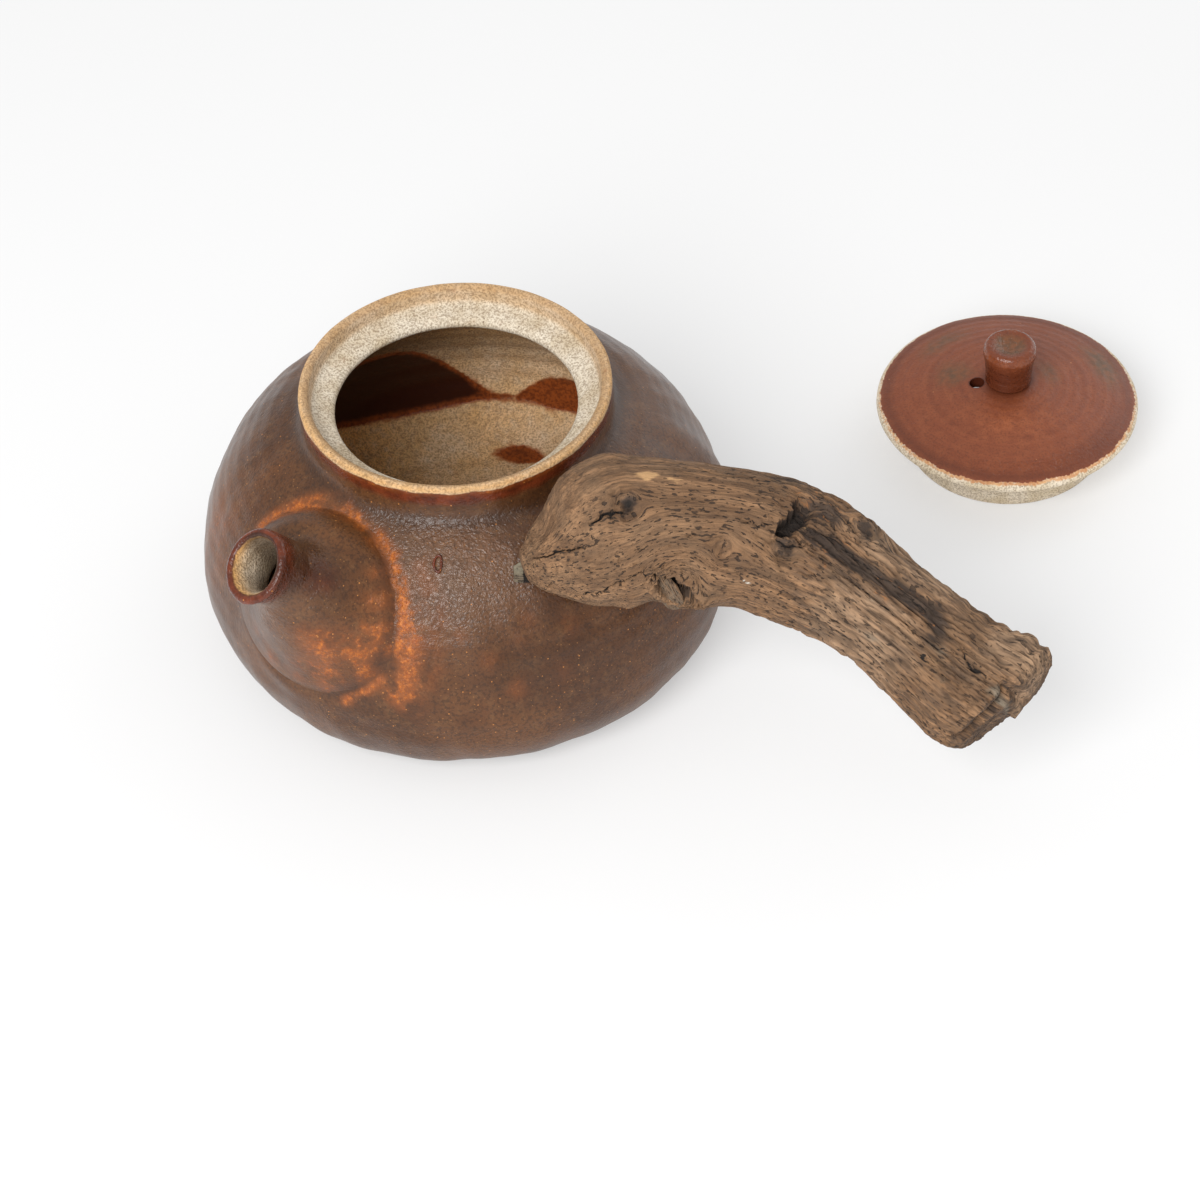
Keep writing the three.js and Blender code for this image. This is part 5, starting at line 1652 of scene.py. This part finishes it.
def sliver(name, start, end, out, wide, thick, seed):
    """A tapering splinter between two points, with its broad side facing out."""
    along = unit(end - start)
    across = unit(np.cross(along, out))
    out = np.cross(across, along)
    turn = np.linspace(0, 2 * pi, 56, endpoint=False)[:, None]
    rings = []
    for share in np.linspace(0, 1, 60):
        width = wide * (0.55 + 0.6 * share - 0.75 * share**6)
        depth = thick * (1 - 0.55 * share)
        middle = start + (end - start) * share + out * 0.6 * sin(pi * share)
        rings.append(middle + across * width * np.cos(turn) + out * depth * np.sin(turn))
    points = np.array(rings)
    flat = points.reshape(-1, 3)
    away = flat - start
    grain = np.stack([away @ along / 6, away @ across, away @ out], 1)
    middle = np.repeat(points.mean(1), len(turn), axis=0)
    bite = 0.3 * noise(grain, 0.8, seed, 2) + 0.3 * noise(flat, 2.2, seed + 1)
    flat = flat + unit(flat - middle) * bite[:, None]
    piece = loft(name, flat.reshape(points.shape), crease=50)
    away = places(piece) - start
    level = np.full(len(away), grain[0, 0])
    paint(piece, "grain", np.stack([away @ along, away @ across * 2, level], 1))
    return piece


splinter = sliver(
    "splinter", on_branch(29.2, -40, 3.2), on_branch(37.2, -84, -0.9),
    unit(on_branch(33, -60, 0) - on_branch(33, -60, 6)), 3.3, 1.4, 51,
)
masks(splinter, WOOD_MASKS, grey=0.6, rough=0.7, pores=0.4, furrow=0.15)
dress(splinter, DRIFTWOOD)

wedge = chip("wedge", 0.0, rough=0.32)
cut(wedge, grown_pot())
place, inwards, normal, side = wedge_frame()
away = places(wedge) - place
paint(wedge, "grain", np.stack([away @ inwards, away @ side, away @ normal], 1))
# Painted shade on the wedge, darker the further it goes into its slot
masks(wedge, WOOD_MASKS, rough=0.6, pores=0.3, crack=0.8 * smooth(away @ inwards, 0.6, 1.6))
WEDGE_WOOD = wood("wedge_wood", rgb(142, 134, 114), rgb(112, 105, 88), rgb(82, 75, 62))
dress(wedge, WEDGE_WOOD)
tell(splinter)
tell(wedge)

# %% [markdown]
# The tenon is a plain stud of clay that the wood is pushed over. It stands square on the
# shoulder, so its foot is cut by the same envelope of the pot as the wood and the wedge.

# %% The tenon
tenon = rod("tenon", TENON_RADIUS, HANDLE_SEAT[0], HANDLE_SEAT[1], -WALL, TENON_LENGTH)
cut(tenon, grown_pot())
masks(tenon, CLAY_MASKS, clay=1.0, toast=0.4)
dress(tenon, ASH_GLAZE)
tell(tenon)

# %% [markdown]
# ## The lid and its knob
# The lid is thrown upside down as a shallow bowl, turned over and trimmed: a domed disc, and
# under it the flange that drops into the mouth. The knob is luted to the middle and turned
# on the same wheel, so both use the wheel again. A vent is bored beside the knob. The glaze
# was brushed on the dome only and stops ragged at its edge.

# %% Turn the lid and the knob
LID_PLACE = (139.0, 48.3)
LID_RADIUS, FLANGE_RADIUS = GALLERY_RADIUS - 1.1, MOUTH_RADIUS - 0.6
FLANGE_DEPTH, FLANGE_TAPER, FLANGE_WALL = 11.6, 2.8, 2.9
LID_TOP, LID_RISE, LID_THICKNESS = 14.0, 6.4, 3.2
VENT_RADIUS, VENT_OFFSET = 1.9, 8.0
VENT_PLACE = (LID_PLACE[0] - VENT_OFFSET, LID_PLACE[1])
KNOB_FOOT_RADIUS, KNOB_RADIUS, KNOB_HEIGHT = 5.9, 6.8, 12.0
KNOB_SHOULDER, KNOB_DISH = 2.4, 1.0


def crown_at(radius):
    """Height of the lid's top above the table, at a distance from its axis."""
    return LID_TOP + LID_RISE * (1 - (np.abs(radius) / LID_RADIUS) ** 1.7)


RED_MASKS = ("clay", "fringe", "shade", "bright", "gloss", "olive")


def red_glaze(name):
    """Red-brown iron glaze that breaks to orange at its edge, over speckled clay."""
    f = Finish(name)
    broad, mottle, grit = f.noise(12, 3), f.noise(2.6, 5, rough=0.6), f.noise(0.5, 3)
    place = f.parts(f.space)
    x = f.minus(place["X"], LID_PLACE[0] * MM)
    y = f.minus(place["Y"], LID_PLACE[1] * MM)
    reach = f.math("SQRT", f.plus(f.times(x, x), f.times(y, y)))
    wobble = f.times(f.minus(broad, 0.5), 0.5)
    turns = f.plus(f.times(reach, 1 / (1.9 * MM)), wobble)
    turned = f.noise(1.0, 3, f.add("ShaderNodeCombineXYZ", {"X": turns}))
    olive = f.mix(f.range(f.noise(1.4, 5), 0.35, 0.7), rgb(82, 60, 40), rgb(112, 70, 42))
    glaze = f.coats(
        f.mix(f.range(turned, 0.35, 0.65), rgb(114, 57, 32), rgb(124, 64, 37)),
        (f.range(mottle, 0.4, 0.75), rgb(140, 78, 46), 0.4),
        # The bright mask is a painted highlight
        (f.times(f.mask("bright"), f.range(mottle, 0.3, 0.7)), rgb(150, 84, 50)),
        (f.range(grit, 0.5, 0.66), rgb(88, 44, 25), 0.45),
        (f.specks(2.6, 0.12, 0.09), rgb(186, 128, 84)),
        # Painted shade round the knob's foot and in the vent, and darker patches near the rim
        (f.mask("shade"), rgb(66, 27, 14), 0.9),
        (f.frayed("olive", 2.6, 0.5, 0.1, 1.0), olive),
    )
    orange = f.mix(f.range(mottle, 0.35, 0.7), rgb(178, 112, 60), rgb(206, 154, 102))
    sand = f.coats(
        f.mix(f.range(f.noise(6, 3), 0.35, 0.7), rgb(222, 209, 188), rgb(204, 188, 160)),
        (f.range(grit, 0.44, 0.62), rgb(134, 114, 90), 0.62),
        (f.specks(2.2, 0.16, 0.12), rgb(96, 72, 50)),
        (f.frayed("fringe", 0.7, 1.6, 0.4, 1.0, 6), orange, 0.8),
    )
    clay = f.frayed("clay", 0.8, 0.9, 0.4, 0.6, 5)
    color = f.mix(clay, glaze, sand)
    rough = f.blend(f.mask("gloss"), f.range(broad, 0.3, 0.7, 0.38, 0.48), 0.2)
    rough = f.blend(clay, rough, 0.86)
    crinkle = f.times(f.noise(0.9, 2, warp=0.6), f.blend(f.mask("gloss"), 0.5, 1.4))
    skin = f.plus(f.times(turned, 0.22), crinkle)
    relief = f.blend(clay, skin, f.times(f.noise(0.5, 2), 0.9))
    return f.surface(color, rough, 0.2, relief, shine=0.4)


RED_GLAZE = red_glaze("red_glaze")


def turn_lid():
    """The lid, whose outline runs from under its middle, round the flange and over the top."""
    foot, inside = FLANGE_RADIUS - FLANGE_TAPER, FLANGE_RADIUS - FLANGE_WALL
    top = [[r, crown_at(r)] for r in np.linspace(LID_RADIUS - 0.9, 0, 40)]
    under = [[r, crown_at(r) - LID_THICKNESS] for r in np.linspace(0, inside - 2, 16)]
    edge = [
        [FLANGE_RADIUS, FLANGE_DEPTH - 0.6],
        [FLANGE_RADIUS + 0.7, FLANGE_DEPTH],
        [LID_RADIUS - 0.5, FLANGE_DEPTH],
        [LID_RADIUS, FLANGE_DEPTH + 0.6],
        [LID_RADIUS, LID_TOP - 0.7],
        top[0],
    ]
    flange = [
        [inside, crown_at(inside) - LID_THICKNESS - 3],
        [foot - FLANGE_WALL, 0.4],
        [foot - FLANGE_WALL + 0.5, 0],
    ]
    toe = [flange[-1], [foot - 0.4, 0], [foot, 0.5]]
    stretches = (
        (under, 1.0, 0.12, 0.25),
        ([under[-1], *flange], 0.8, 0.1, 0.25),
        (toe, 0.3, 0, 0.1),
        ([toe[-1], edge[0]], 0.5, 0.06, 0.3),
        (edge, 0.3, 0, 0.25),
        (top, 0.5, 0.03, 0.4),
    )
    return thrown("lid", stretches, 300, RED_GLAZE, LID_PLACE, pitch=3.2, lump=9, seed=4, worn=2)


def turn_knob():
    """The knob, whose outline runs from its foot on the lid up to its dished top."""
    base = LID_TOP + LID_RISE
    top = base + KNOB_HEIGHT
    seat = [[r, crown_at(r) + SEAM] for r in np.linspace(0, KNOB_FOOT_RADIUS, 8)]
    shaft = [
        seat[-1],
        [KNOB_FOOT_RADIUS, base + 0.25 * KNOB_HEIGHT],
        [(KNOB_FOOT_RADIUS + KNOB_RADIUS) / 2 - 0.1, base + 0.55 * KNOB_HEIGHT],
        [KNOB_RADIUS - 0.1, top - KNOB_SHOULDER - 0.8],
        [KNOB_RADIUS, top - KNOB_SHOULDER],
    ]
    crown = [
        shaft[-1],
        [0.97 * KNOB_RADIUS, top - 0.5 * KNOB_SHOULDER],
        [0.9 * KNOB_RADIUS, top - 0.16 * KNOB_SHOULDER],
        [0.8 * KNOB_RADIUS, top],
        [0.6 * KNOB_RADIUS, top - 0.3 * KNOB_DISH],
        [0.3 * KNOB_RADIUS, top - 0.9 * KNOB_DISH],
        [0, top - KNOB_DISH],
    ]
    stretches = ((seat, 0.5, 0, 0), (shaft, 0.3, 0.03, 0.3), (crown, 0.25, 0.02, 0.3))
    return thrown("knob", stretches, 180, RED_GLAZE, LID_PLACE, pitch=2.2, lump=5, seed=7)


# Patches on the lid by the name of their mask: azimuth and its half width, distance from
# the axis and its half width, and strength
LID_PATCHES = {
    "shade": ((-45, 34, 30, 4.0, 0.5), (-95, 24, 8, 3.0, 0.3)),
    # a painted highlight on the front of the lid
    "bright": ((-95, 38, 15, 6, 0.6),),
    "gloss": ((-96, 45, 28.5, 2.6, 1.0),),
    # olive-grey glaze; the patch at azimuth 15 beside the knob is also its painted shadow
    "olive": (
        (160, 24, 14, 6, 0.8), (18, 22, 27, 4, 0.9), (125, 24, 25, 4, 0.7), (15, 30, 11, 4, 0.6),
    ),
}


def paint_lid(piece):
    points = places(piece)
    azimuth, radius, height = polar(points, LID_PLACE)
    shares = {name: np.zeros(len(points)) for name in LID_PATCHES}
    for name, patches in LID_PATCHES.items():
        for place, wide, far, deep, strength in patches:
            patch = strength * bell(around(azimuth, place), wide, radius - far, deep)
            shares[name] = np.maximum(shares[name], patch)
    on_top = height > crown_at(radius) - 1.5
    in_vent = polar(points, VENT_PLACE)[1] < VENT_RADIUS + 0.2
    edge = LID_RADIUS - 1.1 + 0.25 * noise(points, 5, 61) + 0.2 * noise(points, 1.4, 62, 2)
    glazed = fading(radius, edge - 0.8, edge + 0.8) * on_top
    past = radius - edge
    facing = 0.65 - 0.35 * np.sin(np.radians(azimuth))
    rim = 0.45 * bell(radius - LID_RADIUS + 2.8, 1.2) * on_top
    # Painted shade round the foot of the knob and inside the vent
    under_knob = 0.55 * fading(radius, 6.2, 8.6) * on_top
    shade = np.maximum.reduce([under_knob, shares["shade"], rim])
    shares["shade"] = np.where(in_vent, 1.0, shade)
    shares["gloss"] = shares["gloss"] * on_top
    shares["olive"] = np.where(in_vent, 0, shares["olive"])
    shares["clay"] = np.where(in_vent, 0, 1 - glazed)
    shares["fringe"] = facing * on_top * smooth(past, -0.8, 0.0) * fading(past, 0.4, 1.1)
    masks(piece, RED_MASKS, **shares)


def paint_knob(piece):
    _, radius, height = polar(places(piece), LID_PLACE)
    down = LID_TOP + LID_RISE + KNOB_HEIGHT - height
    dished = fading(radius, 0.4 * KNOB_RADIUS, 0.86 * KNOB_RADIUS) * (down < 2)
    masks(
        piece, RED_MASKS,
        shade=0.3 + 0.45 * smooth(down, 2, 6),
        # a painted highlight round the edge of the knob's crown
        bright=0.5 * bell(down - 1.6, 1.0),
        gloss=1.0,
        olive=0.75 * dished,
    )


lid = turn_lid()
cut(lid, rod("vent", VENT_RADIUS, [*VENT_PLACE, 0], [0, 0, 1], 1, 2 * LID_TOP))
dress(lid, RED_GLAZE)
outward(lid)
paint_lid(lid)
knob = turn_knob()
paint_knob(knob)
tell(lid)
tell(knob)

# %% [markdown]
# ## Light and ground
# The pot stands on white, lit by one large soft light in front of it and above, by a
# bright wall far behind on the right, and by the bright room all round. The white ground is
# a plain floor that fades out of sight: the eye sees it near white, while to the other rays
# it is a sheet of white paper.

# %% Light and ground
ROOM_LEVEL, PAGE_LEVEL, PAPER_GLOW = 0.72, 0.955, 0.38
WHITE = [1, 1, 1, 1]
# What the lights aim at, in metres, and how far the ground reaches, in millimetres
MIDDLE, FAR = (0.03, 0, 0.03), 6000


def white_room():
    """The bright room that lights the pot, and the white page that the eye sees behind it."""
    bpy.context.scene.world = world = bpy.data.worlds.new("room")
    t = Tree(cleared(world))
    seen = t.add("ShaderNodeLightPath", output="Is Camera Ray")
    light = t.add("ShaderNodeBackground", {"Color": WHITE, "Strength": ROOM_LEVEL})
    page = t.add("ShaderNodeBackground", {"Color": WHITE, "Strength": PAGE_LEVEL})
    mixed = t.add("ShaderNodeMixShader", {0: seen, 1: light, 2: page})
    t.add("ShaderNodeOutputWorld", {"Surface": mixed})


def soft_light(name, place, size, power):
    """A round soft light aimed at MIDDLE; place and size in metres, power in watts."""
    lamp = bpy.data.lights.new(name, "AREA")
    lamp.shape, lamp.size, lamp.energy = "DISK", size, power
    piece = put(name, lamp)
    piece.location = place
    piece.rotation_euler = (Vector(MIDDLE) - Vector(place)).to_track_quat("-Z", "Y").to_euler()


def paper():
    """The floor: near white to the eye, plain white paper to the other rays."""
    finish = bpy.data.materials.new("paper")
    t = Tree(cleared(finish))
    seen = t.add("ShaderNodeLightPath", output="Is Camera Ray")
    plain = t.add("ShaderNodeBsdfDiffuse", {"Color": [0.85, 0.85, 0.85, 1]})
    pale = t.add("ShaderNodeBsdfDiffuse", {"Color": [0.455, 0.455, 0.455, 1]})
    glow = t.add("ShaderNodeEmission", {"Color": WHITE, "Strength": PAPER_GLOW})
    page = t.add("ShaderNodeAddShader", {0: pale, 1: glow})
    mixed = t.add("ShaderNodeMixShader", {0: seen, 1: plain, 2: page})
    t.add("ShaderNodeOutputMaterial", {"Surface": mixed})
    return finish


white_room()
soft_light("window", (-0.36, -0.88, 0.84), 0.8, 16.5)
soft_light("far_wall", (0.95, 0.75, 0.6), 1.0, 3.2)
corners = [[-FAR, -FAR, 0], [FAR, -FAR, 0], [FAR, FAR, 0], [-FAR, FAR, 0]]
ground = object_from("ground", corners, [[0, 1, 2, 3]])
ground.data.materials.append(paper())

# %% [markdown]
# ## Handing over
# Each piece rides on its body, so that the lid's pieces move with the lid, and stands for
# the solid it replaces.

# %% Bodies, solids and slots
for piece, body, solid, slot in (
    (pot, "pot", "pot_body", "ash_glaze"),
    (blister, "pot", "pot_body", "ash_glaze"),
    (spout, "pot", "spout", "ash_glaze"),
    (strainer, "pot", "strainer", "bare_clay"),
    (tenon, "pot", "handle_tenon", "bare_clay"),
    (driftwood, "pot", "driftwood_handle", "driftwood"),
    (splinter, "pot", "driftwood_handle", "driftwood"),
    (wedge, "pot", "handle_wedge", "wedge_wood"),
    (lid, "lid", "lid", "red_glaze"),
    (knob, "lid", "lid_knob", "red_glaze"),
):
    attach(piece, body)
    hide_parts(solid)
